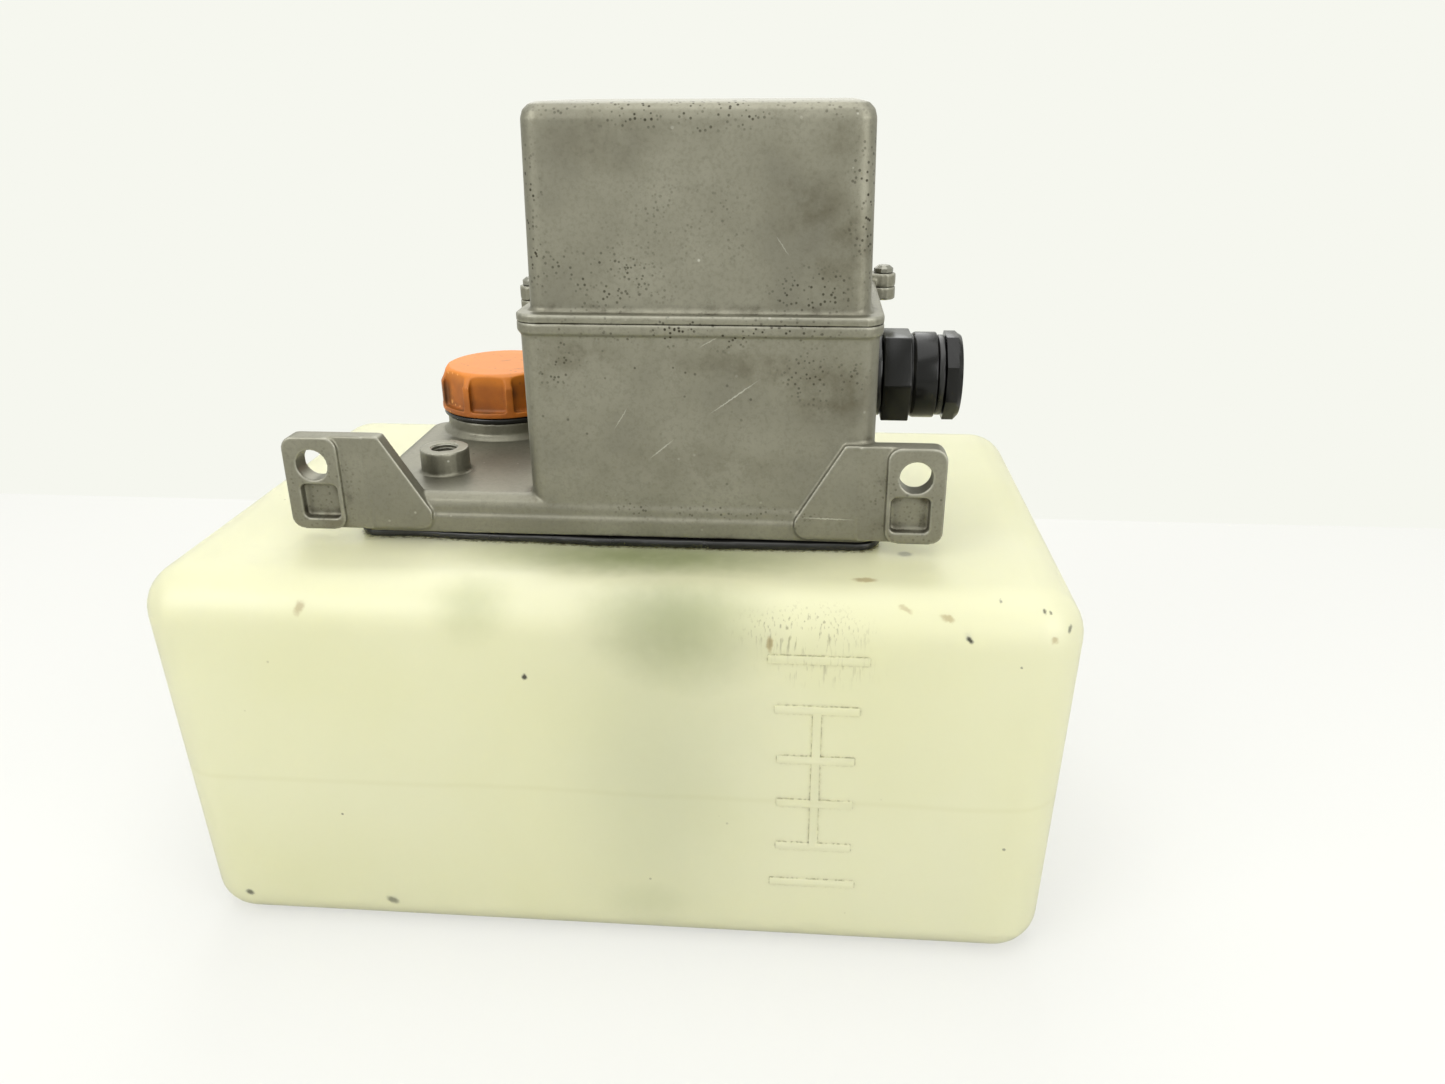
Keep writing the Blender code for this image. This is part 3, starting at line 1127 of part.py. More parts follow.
def build_float():
    stem = FLOAT_STEM_DIAMETER / 2
    head = FLOAT_HEAD_DIAMETER / 2
    top = -SEAT_GAP
    profile = [(stem, top - FLOAT_STEM_LENGTH), (stem, top - FLOAT_HEAD_THICKNESS),
               (head, top - FLOAT_HEAD_THICKNESS), (head, top), (stem, top),
               (stem, DECK_THICKNESS + FLOAT_THREAD_LENGTH)]
    place(revolve("float_stem", profile, INNER_SIDES, "brass"), FLOAT_X, PUMP_Y, ROOF_Z)
    nut_rings = [at_height(subdivided_polygon(FLOAT_NUT_WIDTH, 6, HEXAGON_SIDES), z)
                 for z in (SEAT_GAP, SEAT_GAP + FLOAT_NUT_THICKNESS)]
    nut = bored("float_stem_nut", nut_rings, FLOAT_STEM_DIAMETER + 2 * SEAT_GAP, "brass")
    place(nut, FLOAT_X, PUMP_Y, DECK_Z)

    stop_z = ROOF_Z + top - FLOAT_STEM_LENGTH + FLOAT_STOP_THICKNESS
    stop = tube("float_stop", FLOAT_STOP_DIAMETER / 2, stem + SEAT_GAP, 0, FLOAT_STOP_THICKNESS, INNER_SIDES,
                "zinc_plated_steel")
    place(stop, FLOAT_X, PUMP_Y, stop_z)
    radius = FLOAT_DIAMETER / 2
    bore = stem + RUNNING_GAP
    edge = (radius - bore) / 4
    shape = [(bore, 0), (radius - edge, 0), (radius, edge), (radius, FLOAT_HEIGHT - edge),
             (radius - edge, FLOAT_HEIGHT), (bore, FLOAT_HEIGHT)]
    level_float = revolve("level_float", shape, INNER_SIDES, "black_plastic", ring_shaped=True)
    place(level_float, FLOAT_X, PUMP_Y, stop_z + FLOAT_STOP_THICKNESS + SEAT_GAP)


def build_terminal_block():
    half = TERMINAL_DEPTH / 2
    ridge = half - TERMINAL_STEP
    step_z = TERMINAL_HEIGHT - TERMINAL_STEP
    profile = [(-half, 0), (half, 0), (half, step_z), (ridge, step_z), (ridge, TERMINAL_HEIGHT),
               (-ridge, TERMINAL_HEIGHT), (-ridge, step_z), (-half, step_z)]
    rings = [[(side * TERMINAL_WIDTH / 2, y, z) for y, z in profile] for side in (-1, 1)]
    block = loft("terminal_block", rings, "pale_plastic")
    place(block, TERMINAL_X, PAD_Y + TERMINAL_SETBACK, DECK_Z + SEAT_GAP)


for old in list(bpy.data.objects):
    bpy.data.objects.remove(old, do_unlink=True)

build_tank()
build_seal_and_clamp()
build_tank_screws()
build_pump_body()
build_cover()
build_cover_gasket()
build_cover_screws()
build_strainer()
build_cap()
build_cap_gasket()
build_gland()
build_pump_cylinder()
build_valves()
build_delivery_pipe()
build_piston()
build_cam()
build_bracket()
build_motor()
build_float()
build_terminal_block()
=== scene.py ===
import json
import math

import bmesh
import bpy
from mathutils import Matrix, Vector


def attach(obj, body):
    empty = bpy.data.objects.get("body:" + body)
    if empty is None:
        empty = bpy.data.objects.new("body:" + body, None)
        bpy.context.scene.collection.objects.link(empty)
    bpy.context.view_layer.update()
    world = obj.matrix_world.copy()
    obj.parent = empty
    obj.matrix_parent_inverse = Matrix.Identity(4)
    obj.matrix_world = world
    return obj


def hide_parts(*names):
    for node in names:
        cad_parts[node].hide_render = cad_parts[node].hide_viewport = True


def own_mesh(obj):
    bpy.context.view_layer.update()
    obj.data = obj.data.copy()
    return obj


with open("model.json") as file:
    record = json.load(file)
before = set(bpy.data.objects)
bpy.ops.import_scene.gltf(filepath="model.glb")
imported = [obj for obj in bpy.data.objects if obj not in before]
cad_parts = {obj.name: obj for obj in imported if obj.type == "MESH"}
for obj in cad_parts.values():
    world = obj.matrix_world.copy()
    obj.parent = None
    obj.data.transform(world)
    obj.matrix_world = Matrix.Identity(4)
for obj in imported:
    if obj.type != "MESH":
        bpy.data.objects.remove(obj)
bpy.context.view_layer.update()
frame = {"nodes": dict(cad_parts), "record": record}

bpy.ops.object.select_all(action="DESELECT")
nodes = frame["nodes"]
mm = 0.001
squarely = 0.9  # a face counts as level when its normal is at least this upright


# sRGB hex to the linear colour that sockets take
def colour(code):
    channels = [int(code[at:at + 2], 16) / 255 for at in (0, 2, 4)]
    linear = [c / 12.92 if c <= 0.04045 else ((c + 0.055) / 1.055) ** 2.4 for c in channels]
    return (*linear, 1.0)


# one node with its settings and links
def addNode(tree, kind, settings=None, links=None):
    node = tree.nodes.new("ShaderNode" + kind)
    for key, value in (settings or {}).items():
        if key == "stops":
            ramp = node.color_ramp
            while len(ramp.elements) < len(value):
                ramp.elements.new(0.5)
            for element, (place, tone) in zip(ramp.elements, value):
                element.position = place
                element.color = colour(tone) if isinstance(tone, str) else (tone, tone, tone, 1)
        elif isinstance(key, str) and hasattr(node, key):
            setattr(node, key, value)
        else:
            node.inputs[key].default_value = value
    for key, socket in (links or {}).items():
        tree.links.new(socket, node.inputs[key])
    return node


def newMaterial(name, shaderSettings):
    material = bpy.data.materials.new(name)
    material.use_nodes = True
    tree = material.node_tree
    shader = tree.nodes["Principled BSDF"]
    for key, value in shaderSettings.items():
        shader.inputs[key].default_value = value
    place = addNode(tree, "TexCoord").outputs["Object"]
    return material, tree, shader, place


# soft-edged marks at known places: centre and half sizes in mm, strength, turn about Y in degrees;
# ragged is how far their outline strays, core the share of a mark that has its full strength
def markMask(tree, place, marks, ragged, core=0.3):
    rough = addNode(tree, "TexNoise", {"Scale": 1 / ragged, "Detail": 4.0}, {"Vector": place})
    stray = {"operation": "MULTIPLY_ADD", 1: (ragged,) * 3, 2: (-ragged / 2,) * 3}
    shift = addNode(tree, "VectorMath", stray, {0: rough.outputs["Color"]})
    moved = addNode(tree, "VectorMath", {"operation": "ADD"}, {0: place, 1: shift.outputs["Vector"]})
    mask = None
    for centre, half, strength, turn in marks:
        spot = {
            "vector_type": "TEXTURE", "Location": [c * mm for c in centre],
            "Rotation": (0.0, math.radians(turn), 0.0), "Scale": [h * mm for h in half],
        }
        local = addNode(tree, "Mapping", spot, {"Vector": moved.outputs["Vector"]})
        away = addNode(tree, "VectorMath", {"operation": "LENGTH"}, {0: local.outputs["Vector"]})
        falloff = {
            "interpolation_type": "SMOOTHSTEP", "From Min": core, "From Max": 1.0,
            "To Min": strength, "To Max": 0.0,
        }
        fade = addNode(tree, "MapRange", falloff, {"Value": away.outputs["Value"]}).outputs["Result"]
        if mask is None:
            mask = fade
        else:
            mask = addNode(tree, "Math", {"operation": "MAXIMUM"}, {0: mask, 1: fade}).outputs["Value"]
    return mask


# small round dots strewn about in patches: few and many are the noise levels where dots begin to
# show and where they show in full
def dotMask(tree, place, spacing, radius, few, many, strength):
    solid = 0.6  # share of a dot's radius that has its full strength
    patches = 0.16  # patches to each spacing
    cells = addNode(tree, "TexVoronoi", {"Scale": 1 / spacing}, {"Vector": place})
    falloff = {
        "From Min": solid * radius / spacing, "From Max": radius / spacing,
        "To Min": strength, "To Max": 0.0,
    }
    dots = addNode(tree, "MapRange", falloff, {"Value": cells.outputs["Distance"]})
    drift = addNode(tree, "TexNoise", {"Scale": patches / spacing, "Detail": 3.0}, {"Vector": place})
    kept = addNode(tree, "MapRange", {"From Min": few, "From Max": many}, {"Value": drift.outputs["Fac"]})
    both = {0: dots.outputs["Result"], 1: kept.outputs["Result"]}
    return addNode(tree, "Math", {"operation": "MULTIPLY"}, both).outputs["Value"]


# edit-mode selection by a test on each face or edge
def editFaces(piece, test):
    mesh = bmesh.from_edit_mesh(piece.data)
    bpy.ops.mesh.select_all(action="DESELECT")
    for face in mesh.faces:
        if test(face):
            face.select_set(True)
    bmesh.update_edit_mesh(piece.data)


def editEdges(piece, test):
    mesh = bmesh.from_edit_mesh(piece.data)
    bpy.ops.mesh.select_all(action="DESELECT")
    for edge in mesh.edges:
        if test(edge.verts[0].co, edge.verts[1].co):
            edge.select_set(True)
    bmesh.update_edit_mesh(piece.data)


def openPiece(piece):
    bpy.ops.object.select_all(action="DESELECT")
    piece.select_set(True)
    bpy.context.view_layer.objects.active = piece


# the piece is left open, as the only one selected
def applyModifiers(piece):
    openPiece(piece)
    for modifier in list(piece.modifiers):
        bpy.ops.object.modifier_apply(modifier=modifier.name)


def settle(piece):
    openPiece(piece)
    bpy.ops.object.transform_apply(location=True, rotation=True, scale=True)


def boxAt(low, high):
    middle = [(a + b) / 2 for a, b in zip(low, high)]
    bpy.ops.mesh.primitive_cube_add(size=1, location=middle)
    piece = bpy.context.object
    piece.scale = [b - a for a, b in zip(low, high)]
    settle(piece)
    return piece


def joinPieces(pieces):
    bpy.ops.object.select_all(action="DESELECT")
    for piece in pieces:
        piece.select_set(True)
    bpy.context.view_layer.objects.active = pieces[0]
    bpy.ops.object.join()
    return pieces[0]


# a tool is cut from or joined to a piece, and then taken away
def carve(piece, tool, operation="DIFFERENCE"):
    modifier = piece.modifiers.new("carve", "BOOLEAN")
    modifier.object = tool
    modifier.operation = operation
    modifier.solver = "EXACT"
    applyModifiers(piece)
    bpy.data.objects.remove(tool)


# a merged copy of a solid's mesh, to be finished further
def copyOf(node, name):
    mergeGap = 0.01 * mm
    flatAngle = math.radians(0.5)
    piece = bpy.data.objects.new(name, nodes[node].data.copy())
    bpy.context.scene.collection.objects.link(piece)
    piece.data.materials.clear()
    openPiece(piece)
    bpy.ops.object.mode_set(mode="EDIT")
    bpy.ops.mesh.select_all(action="SELECT")
    bpy.ops.mesh.remove_doubles(threshold=mergeGap)
    bpy.ops.mesh.dissolve_limited(angle_limit=flatAngle)
    bpy.ops.object.mode_set(mode="OBJECT")
    return piece


def roundEdges(piece, width, steps, sharpAngle=None):
    edges = piece.modifiers.new("edges", "BEVEL")
    edges.width = width
    edges.segments = steps
    if sharpAngle:
        edges.limit_method = "ANGLE"
        edges.angle_limit = math.radians(sharpAngle)
    applyModifiers(piece)


# a fine even mesh all over the piece
def evenSkin(piece, voxel):
    skin = piece.modifiers.new("skin", "REMESH")
    skin.mode = "VOXEL"
    skin.voxel_size = voxel
    applyModifiers(piece)


# an even skin with its sharp edges worn round, as a die or mould leaves them, of about keep triangles
def easeSkin(piece, voxel, rounds, keep):
    evenSkin(piece, voxel)
    ease = piece.modifiers.new("ease", "SMOOTH")
    ease.factor = 0.5
    ease.iterations = rounds
    thin = piece.modifiers.new("thin", "DECIMATE")
    thin.ratio = min(1.0, keep / (2 * len(piece.data.polygons)))
    applyModifiers(piece)
    bpy.ops.object.shade_smooth()
    print(piece.name, len(piece.data.polygons), "faces")


def finishPiece(piece, body, material, slot, *stoodFor):
    piece.data.materials.clear()
    piece.data.materials.append(material)
    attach(piece, body)
    if stoodFor:
        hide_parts(*stoodFor)
    piece.select_set(False)


# marks seen on the tank's front, shoulder and top, and painted shade
tankMarks = {
    "specks": [
        ((-25.1, -101.2, 116.4), (1.3, 8, 1.7), 1.0, 15), ((124.3, -100.7, 136.1), (2.0, 8, 1.1), 1.0, 40),
        ((156.9, -97.2, 139.1), (0.9, 8, 1.7), 0.8, 10), ((148.3, -94.4, 144.7), (0.9, 8, 0.9), 0.9, 0),
        ((150.2, -94.9, 144.3), (0.7, 8, 0.7), 0.8, 0), ((134.4, -91.3, 146.7), (0.7, 8, 0.7), 0.7, 0),
        ((105.5, -61.1, 149.0), (3.6, 3.2, 4), 0.55, 0), ((-142.7, -98.8, 14.0), (2.4, 8, 1.7), 0.9, 20),
        ((-85.3, -98.8, 13.8), (3.4, 8, 2.2), 0.75, 25), ((143.4, -99.7, 52.0), (0.8, 8, 0.8), 0.7, 0),
        ((141.8, -101.5, 126.8), (0.7, 8, 0.7), 0.7, 0),
    ],
    # painted shade: the parts inside darkening the wall close behind it, and a dark band under the casting
    "shade": [
        ((27, -99, 142), (44, 16, 48), 0.6, 0), ((-42.6, -98.6, 143), (19, 16, 19), 0.3, 0),
        ((20, -99, 80), (52, 16, 120), 0.2, 0), ((14, -70, 150), (84, 21, 9), 0.85, 0),
        ((15, -98, 20), (30, 16, 20), 0.22, 0),
    ],
    "smears": [
        ((59.2, -101.7, 132.3), (1.6, 8, 4.0), 0.7, 5), ((90.4, -84.1, 148.9), (5.5, 2.2, 4), 0.7, 0),
        ((117.2, -97.1, 142.1), (3.0, 8, 1.2), 0.6, 12), ((103.3, -94.7, 144.4), (3.2, 8, 1.0), 0.5, 12),
        ((-102.0, -99.1, 139.5), (2.4, 8, 3.2), 0.6, 35), ((151.8, -99.5, 136.7), (1.8, 8, 1.6), 0.6, 0),
    ],
    "drips": [((70, -100, 137), (30, 10, 13), 0.75, 0), ((76, -101, 124), (26, 10, 9), 0.4, 0)],
}
tankLook = {
    "cloud": 90 * mm, "seamHeight": 69.5 * mm, "seamWobble": 3 * mm, "seamEdge": (0.3 * mm, 1.6 * mm),
    "soilReach": 1.6 * mm, "crumb": 1.6 * mm, "runWidth": 0.9 * mm, "runLength": 7 * mm,
    "dotSpacing": 11 * mm, "dot": 0.6 * mm, "wave": 45 * mm, "waveDepth": 1.5 * mm,
}


# Blow-moulded polyethylene: milky and yellow-green, lets soft light through, with painted shade where the
# parts inside and the casting darken it
def polyethylene(look):
    material, tree, shader, place = newMaterial("blowMouldedPolyethylene", {
        "IOR": 1.5, "Transmission Weight": 0.58, "Roughness": 0.52, "Specular IOR Level": 0.3,
        "Coat Weight": 0.35, "Coat Roughness": 0.3,
    })
    cloud = addNode(tree, "TexNoise", {"Scale": 1 / look["cloud"], "Detail": 3.0}, {"Vector": place})
    tone = addNode(tree, "ValToRGB", {"stops": [(0.3, "F3F2D0"), (0.7, "F7F6DB")]},
                   {"Fac": cloud.outputs["Fac"]}).outputs["Color"]
    # the mould's parting line runs round the tank and wanders a little
    axes = addNode(tree, "SeparateXYZ", None, {"Vector": place})
    wobble = addNode(tree, "MapRange", {"To Min": -look["seamWobble"], "To Max": look["seamWobble"]},
                     {"Value": cloud.outputs["Fac"]})
    height = addNode(tree, "Math", {"operation": "ADD"}, {0: axes.outputs["Z"], 1: wobble.outputs["Result"]})
    fromSeam = addNode(tree, "Math", {"operation": "SUBTRACT", 1: look["seamHeight"]},
                       {0: height.outputs["Value"]})
    offSeam = addNode(tree, "Math", {"operation": "ABSOLUTE"}, {0: fromSeam.outputs["Value"]})
    inner, outer = look["seamEdge"]
    seam = addNode(tree, "MapRange", {"From Min": inner, "From Max": outer, "To Min": 0.1, "To Max": 0.0},
                   {"Value": offSeam.outputs["Value"]})
    # crumbly dirt in the corners of the level scale
    corner = addNode(tree, "AmbientOcclusion", {"samples": 8, "Distance": look["soilReach"]})
    soil = addNode(tree, "MapRange", {"From Min": 0.6, "From Max": 0.93, "To Min": 0.75, "To Max": 0.0},
                   {"Value": corner.outputs["AO"]})
    crumbs = addNode(tree, "TexNoise", {"Scale": 1 / look["crumb"], "Detail": 3.0}, {"Vector": place})
    dotty = addNode(tree, "MapRange", {"From Min": 0.44, "From Max": 0.6, "To Min": 0.12, "To Max": 1.0},
                    {"Value": crumbs.outputs["Fac"]})
    dirt = addNode(tree, "Math", {"operation": "MULTIPLY"},
                   {0: soil.outputs["Result"], 1: dotty.outputs["Result"]})
    # thin upright runs of old oil above the scale
    drawn = addNode(tree, "Mapping",
                    {"Scale": (1 / look["runWidth"], 1 / look["runWidth"], 1 / look["runLength"])},
                    {"Vector": place})
    runs = addNode(tree, "TexNoise", {"Scale": 1.0, "Detail": 3.0}, {"Vector": drawn.outputs["Vector"]})
    thinRuns = addNode(tree, "MapRange", {"From Min": 0.56, "From Max": 0.68}, {"Value": runs.outputs["Fac"]})
    dripZone = markMask(tree, place, tankMarks["drips"], 6 * mm, 0.0)
    drips = addNode(tree, "Math", {"operation": "MULTIPLY"}, {0: thinRuns.outputs["Result"], 1: dripZone})
    layers = [
        (seam.outputs["Result"], "C9C48E"),
        # painted shade of the parts inside and under the casting
        (markMask(tree, place, tankMarks["shade"], 6 * mm, 0.0), "8F9A63"),
        (markMask(tree, place, tankMarks["smears"], 3 * mm), "A78E56"),
        (dirt.outputs["Value"], "6E6238"),
        (drips.outputs["Value"], "6B6140"),
        (dotMask(tree, place, look["dotSpacing"], look["dot"], 0.56, 0.66, 0.8), "5E5638"),
        (markMask(tree, place, tankMarks["specks"], 1.2 * mm), "34342A"),
    ]
    for mask, code in layers:
        tone = addNode(tree, "Mix", {"data_type": "RGBA", 7: colour(code)}, {0: mask, 6: tone}).outputs[2]
    tree.links.new(tone, shader.inputs["Base Color"])
    wave = addNode(tree, "TexNoise", {"Scale": 1 / look["wave"], "Detail": 2.0}, {"Vector": place})
    bump = addNode(tree, "Bump", {"Strength": 0.2, "Distance": look["waveDepth"]},
                   {"Height": wave.outputs["Fac"]})
    tree.links.new(bump.outputs["Normal"], shader.inputs["Normal"])
    return material


# stains, bare scratches and pitted zones seen on the casting
castMarks = {
    "stains": [
        ((68, -57, 268), (19, 8, 16), 0.6, 30), ((82, -57, 252), (13, 8, 20), 0.55, 0),
        ((74, -57, 287), (22, 8, 9), 0.35, 0), ((77, -60, 207), (19, 8, 17), 0.7, 0),
        ((48, -60, 217), (30, 8, 9), 0.5, 5), ((-12, -60, 218), (20, 8, 8), 0.45, 0),
        ((30, -60, 180), (50, 8, 10), 0.25, 0), ((-105, -64, 156), (16, 6, 5), 0.5, 0),
        ((98, -63, 160), (8, 6, 5), 0.6, 0), ((0, -57, 288), (30, 8, 16), 0.3, 0),
        ((-69.4, -31.8, 166.5), (10.9, 10.9, 3), 0.65, 0),
    ],
    "scratches": [
        ((44.3, -60, 205), (12.5, 4, 0.32), 0.7, -36), ((19, -60, 186), (7, 4, 0.3), 0.6, -40),
        ((5, -60, 197), (6, 4, 0.25), 0.5, -58), ((60, -57, 255), (5, 4, 0.25), 0.45, 55),
        ((77, -62, 162), (11.5, 3, 0.35), 0.7, 1), ((36, -60, 224), (5, 4, 0.3), 0.5, -30),
    ],
    "pitted": [
        ((-25, -57, 265), (9, 14, 40), 1.0, 0), ((32, -57, 297), (72, 14, 9), 1.0, 0),
        ((89, -57, 268), (10, 14, 40), 1.0, 0), ((32, -60, 228), (74, 10, 7), 1.0, 0),
        ((-2, -57, 243), (34, 8, 16), 0.8, 0), ((70, -57, 240), (26, 8, 12), 0.85, 0),
        ((28, -57, 262), (40, 8, 20), 0.4, 0), ((75, -60, 212), (20, 8, 14), 0.8, 0),
        ((-18, -60, 216), (14, 8, 12), 0.7, 0), ((34, -62, 163), (66, 8, 5), 0.6, 0),
        ((-105, -64, 168), (22, 8, 24), 0.45, 0), ((105, -64, 166), (22, 8, 24), 0.45, 0),
    ],
}
castLook = {
    "cloud": 35 * mm, "sand": 1.6 * mm, "smear": 10 * mm, "grimeAndShadeReach": 4.5 * mm, "grimePatch": 6 * mm,
    "pitSpacing": 1.7 * mm, "pit": 0.56 * mm, "darkSpacing": 5.2 * mm, "brightSpacing": 7.1 * mm,
    "dot": 0.6 * mm, "grain": 1.2 * mm, "grainDepth": 0.3 * mm,
}


# Bare die-cast aluminium: dull grey, oil-stained in patches, black in pits, grime and painted shade in
# corners, worn edges bright, partly as a painted highlight
def castAluminium(look):
    material, tree, shader, place = newMaterial("dieCastAluminium", {"Metallic": 0.75})
    cloud = addNode(tree, "TexNoise", {"Scale": 1 / look["cloud"], "Detail": 6.0, "Roughness": 0.55},
                    {"Vector": place})
    tone = addNode(tree, "ValToRGB", {"stops": [(0.28, "737165"), (0.5, "7E7C6E"), (0.72, "898779")]},
                   {"Fac": cloud.outputs["Fac"]}).outputs["Color"]
    sand = addNode(tree, "TexNoise", {"Scale": 1 / look["sand"], "Detail": 4.0, "Roughness": 0.7},
                   {"Vector": place})
    speckled = addNode(tree, "MapRange", {"From Min": 0.46, "From Max": 0.72, "To Min": 0.0, "To Max": 0.42},
                       {"Value": sand.outputs["Fac"]})
    smeared = addNode(tree, "TexNoise", {"Scale": 1 / look["smear"], "Detail": 7.0, "Roughness": 0.65},
                      {"Vector": place})
    uneven = addNode(tree, "MapRange", {"From Min": 0.38, "From Max": 0.6, "To Min": 0.15, "To Max": 1.0},
                     {"Value": smeared.outputs["Fac"]})
    stained = addNode(tree, "Math", {"operation": "MULTIPLY"},
                      {0: markMask(tree, place, castMarks["stains"], 14 * mm), 1: uneven.outputs["Result"]})
    pitZones = markMask(tree, place, castMarks["pitted"], 10 * mm)
    allPits = dotMask(tree, place, look["pitSpacing"], look["pit"], 0.34, 0.52, 0.95)
    pitted = addNode(tree, "Math", {"operation": "MULTIPLY"}, {0: allPits, 1: pitZones})
    # bright edges: wear, and partly a painted highlight
    edge = addNode(tree, "NewGeometry")
    worn = addNode(tree, "ValToRGB", {"stops": [(0.512, 0.0), (0.56, 0.4)]},
                   {"Fac": edge.outputs["Pointiness"]})
    # grime and painted shade: darker in corners and hollows by ambient occlusion, in patches
    corner = addNode(tree, "AmbientOcclusion", {"samples": 8, "Distance": look["grimeAndShadeReach"]})
    patch = addNode(tree, "TexNoise", {"Scale": 1 / look["grimePatch"], "Detail": 5.0}, {"Vector": place})
    shade = addNode(tree, "Math", {"operation": "SUBTRACT"},
                    {0: patch.outputs["Fac"], 1: corner.outputs["AO"]})
    grimeAndShade = addNode(tree, "MapRange", {"From Min": -0.3, "From Max": 0.1, "To Min": 0.0, "To Max": 0.88},
                    {"Value": shade.outputs["Value"]})
    layers = [
        (speckled.outputs["Result"], "636053"),
        (stained.outputs["Value"], "55503F"),
        (pitted.outputs["Value"], "2F2B20"),
        (dotMask(tree, place, look["darkSpacing"], look["dot"], 0.5, 0.68, 0.75), "38332A"),
        (dotMask(tree, place, look["brightSpacing"], look["dot"], 0.52, 0.66, 0.7), "B9B8AE"),
        (markMask(tree, place, castMarks["scratches"], 0.8 * mm), "B4B3A8"),
        # worn edges, partly a painted highlight
        (worn.outputs["Color"], "C2C1B6"),
        # grime and painted shade in the corners
        (grimeAndShade.outputs["Result"], "332D1E"),
    ]
    for mask, code in layers:
        tone = addNode(tree, "Mix", {"data_type": "RGBA", 7: colour(code)}, {0: mask, 6: tone}).outputs[2]
    tree.links.new(tone, shader.inputs["Base Color"])
    matt = addNode(tree, "MapRange", {"To Min": 0.36, "To Max": 0.56}, {"Value": cloud.outputs["Fac"]})
    tree.links.new(matt.outputs["Result"], shader.inputs["Roughness"])
    grain = addNode(tree, "TexNoise", {"Scale": 1 / look["grain"], "Detail": 3.0}, {"Vector": place})
    bump = addNode(tree, "Bump", {"Strength": 0.16, "Distance": look["grainDepth"]},
                   {"Height": grain.outputs["Fac"]})
    tree.links.new(bump.outputs["Normal"], shader.inputs["Normal"])
    return material


capLook = {
    "cloud": 12 * mm, "paintedLightFrom": 189.5 * mm, "paintedLightTo": 194.5 * mm, "dotSpacing": 2.8 * mm, "dot": 0.7 * mm,
    "soilReach": 6 * mm, "soilPatch": 7 * mm, "bumpDepth": 0.3 * mm,
    "smudges": [((-84, 16, 184), (6, 8, 7), 0.65, 0)],
}


# Moulded orange polypropylene: painted light on its top, darker on its sides, grime and painted shade in the
# panels
def orangePolypropylene(look):
    material, tree, shader, place = newMaterial("orangePolypropylene", {"IOR": 1.49, "Roughness": 0.52})
    cloud = addNode(tree, "TexNoise", {"Scale": 1 / look["cloud"], "Detail": 5.0}, {"Vector": place})
    tone = addNode(tree, "ValToRGB", {"stops": [(0.3, "934E0A"), (0.65, "BC6A16")]},
                   {"Fac": cloud.outputs["Fac"]}).outputs["Color"]
    axes = addNode(tree, "SeparateXYZ", None, {"Vector": place})
    # painted light: the top is lighter, as the lamps above light it
    high = addNode(tree, "MapRange", {"From Min": look["paintedLightFrom"], "From Max": look["paintedLightTo"],
                                      "To Min": 0.0, "To Max": 0.75}, {"Value": axes.outputs["Z"]})
    # grime and painted shade: darker in the panels and corners by ambient occlusion, in patches
    corner = addNode(tree, "AmbientOcclusion", {"samples": 8, "Distance": look["soilReach"]})
    patch = addNode(tree, "TexNoise", {"Scale": 1 / look["soilPatch"], "Detail": 6.0}, {"Vector": place})
    soil = addNode(tree, "Math", {"operation": "SUBTRACT"},
                   {0: patch.outputs["Fac"], 1: corner.outputs["AO"]})
    grimeAndShade = addNode(tree, "MapRange", {"From Min": -0.38, "From Max": 0.0, "To Min": 0.0, "To Max": 0.85},
                    {"Value": soil.outputs["Value"]})
    edge = addNode(tree, "NewGeometry")
    worn = addNode(tree, "ValToRGB", {"stops": [(0.53, 0.0), (0.62, 0.6)]},
                   {"Fac": edge.outputs["Pointiness"]})
    layers = [
        # painted light on the top
        (high.outputs["Result"], "DA811E"),
        (dotMask(tree, place, look["dotSpacing"], look["dot"], 0.45, 0.62, 0.6), "8A5218"),
        # grime and painted shade in the panels and corners
        (grimeAndShade.outputs["Result"], "5A3A17"),
        (markMask(tree, place, look["smudges"], 6 * mm), "3B2C1C"),
        (worn.outputs["Color"], "F2B163"),
    ]
    for mask, code in layers:
        tone = addNode(tree, "Mix", {"data_type": "RGBA", 7: colour(code)}, {0: mask, 6: tone}).outputs[2]
    tree.links.new(tone, shader.inputs["Base Color"])
    bump = addNode(tree, "Bump", {"Strength": 0.15, "Distance": look["bumpDepth"]},
                   {"Height": patch.outputs["Fac"]})
    tree.links.new(bump.outputs["Normal"], shader.inputs["Normal"])
    return material


# a plain-looking finish still has its own grain, tone and roughness
def grainedMaterial(name, tones, grain, roughness, metallic=0.0, depth=0.1 * mm, gloss=0.5):
    cloudSize = 12 * mm
    material, tree, shader, place = newMaterial(name, {"Metallic": metallic, "Specular IOR Level": gloss})
    cloud = addNode(tree, "TexNoise", {"Scale": 1 / cloudSize, "Detail": 4.0}, {"Vector": place})
    tone = addNode(tree, "ValToRGB", {"stops": [(0.35, tones[0]), (0.65, tones[1])]},
                   {"Fac": cloud.outputs["Fac"]})
    tree.links.new(tone.outputs["Color"], shader.inputs["Base Color"])
    matt = addNode(tree, "MapRange", {"To Min": roughness[0], "To Max": roughness[1]},
                   {"Value": cloud.outputs["Fac"]})
    tree.links.new(matt.outputs["Result"], shader.inputs["Roughness"])
    grit = addNode(tree, "TexNoise", {"Scale": 1 / grain, "Detail": 2.0}, {"Vector": place})
    bump = addNode(tree, "Bump", {"Strength": 0.3, "Distance": depth}, {"Height": grit.outputs["Fac"]})
    tree.links.new(bump.outputs["Normal"], shader.inputs["Normal"])
    return material


tankPlastic = polyethylene(tankLook)
castMetal = castAluminium(castLook)
capPlastic = orangePolypropylene(capLook)
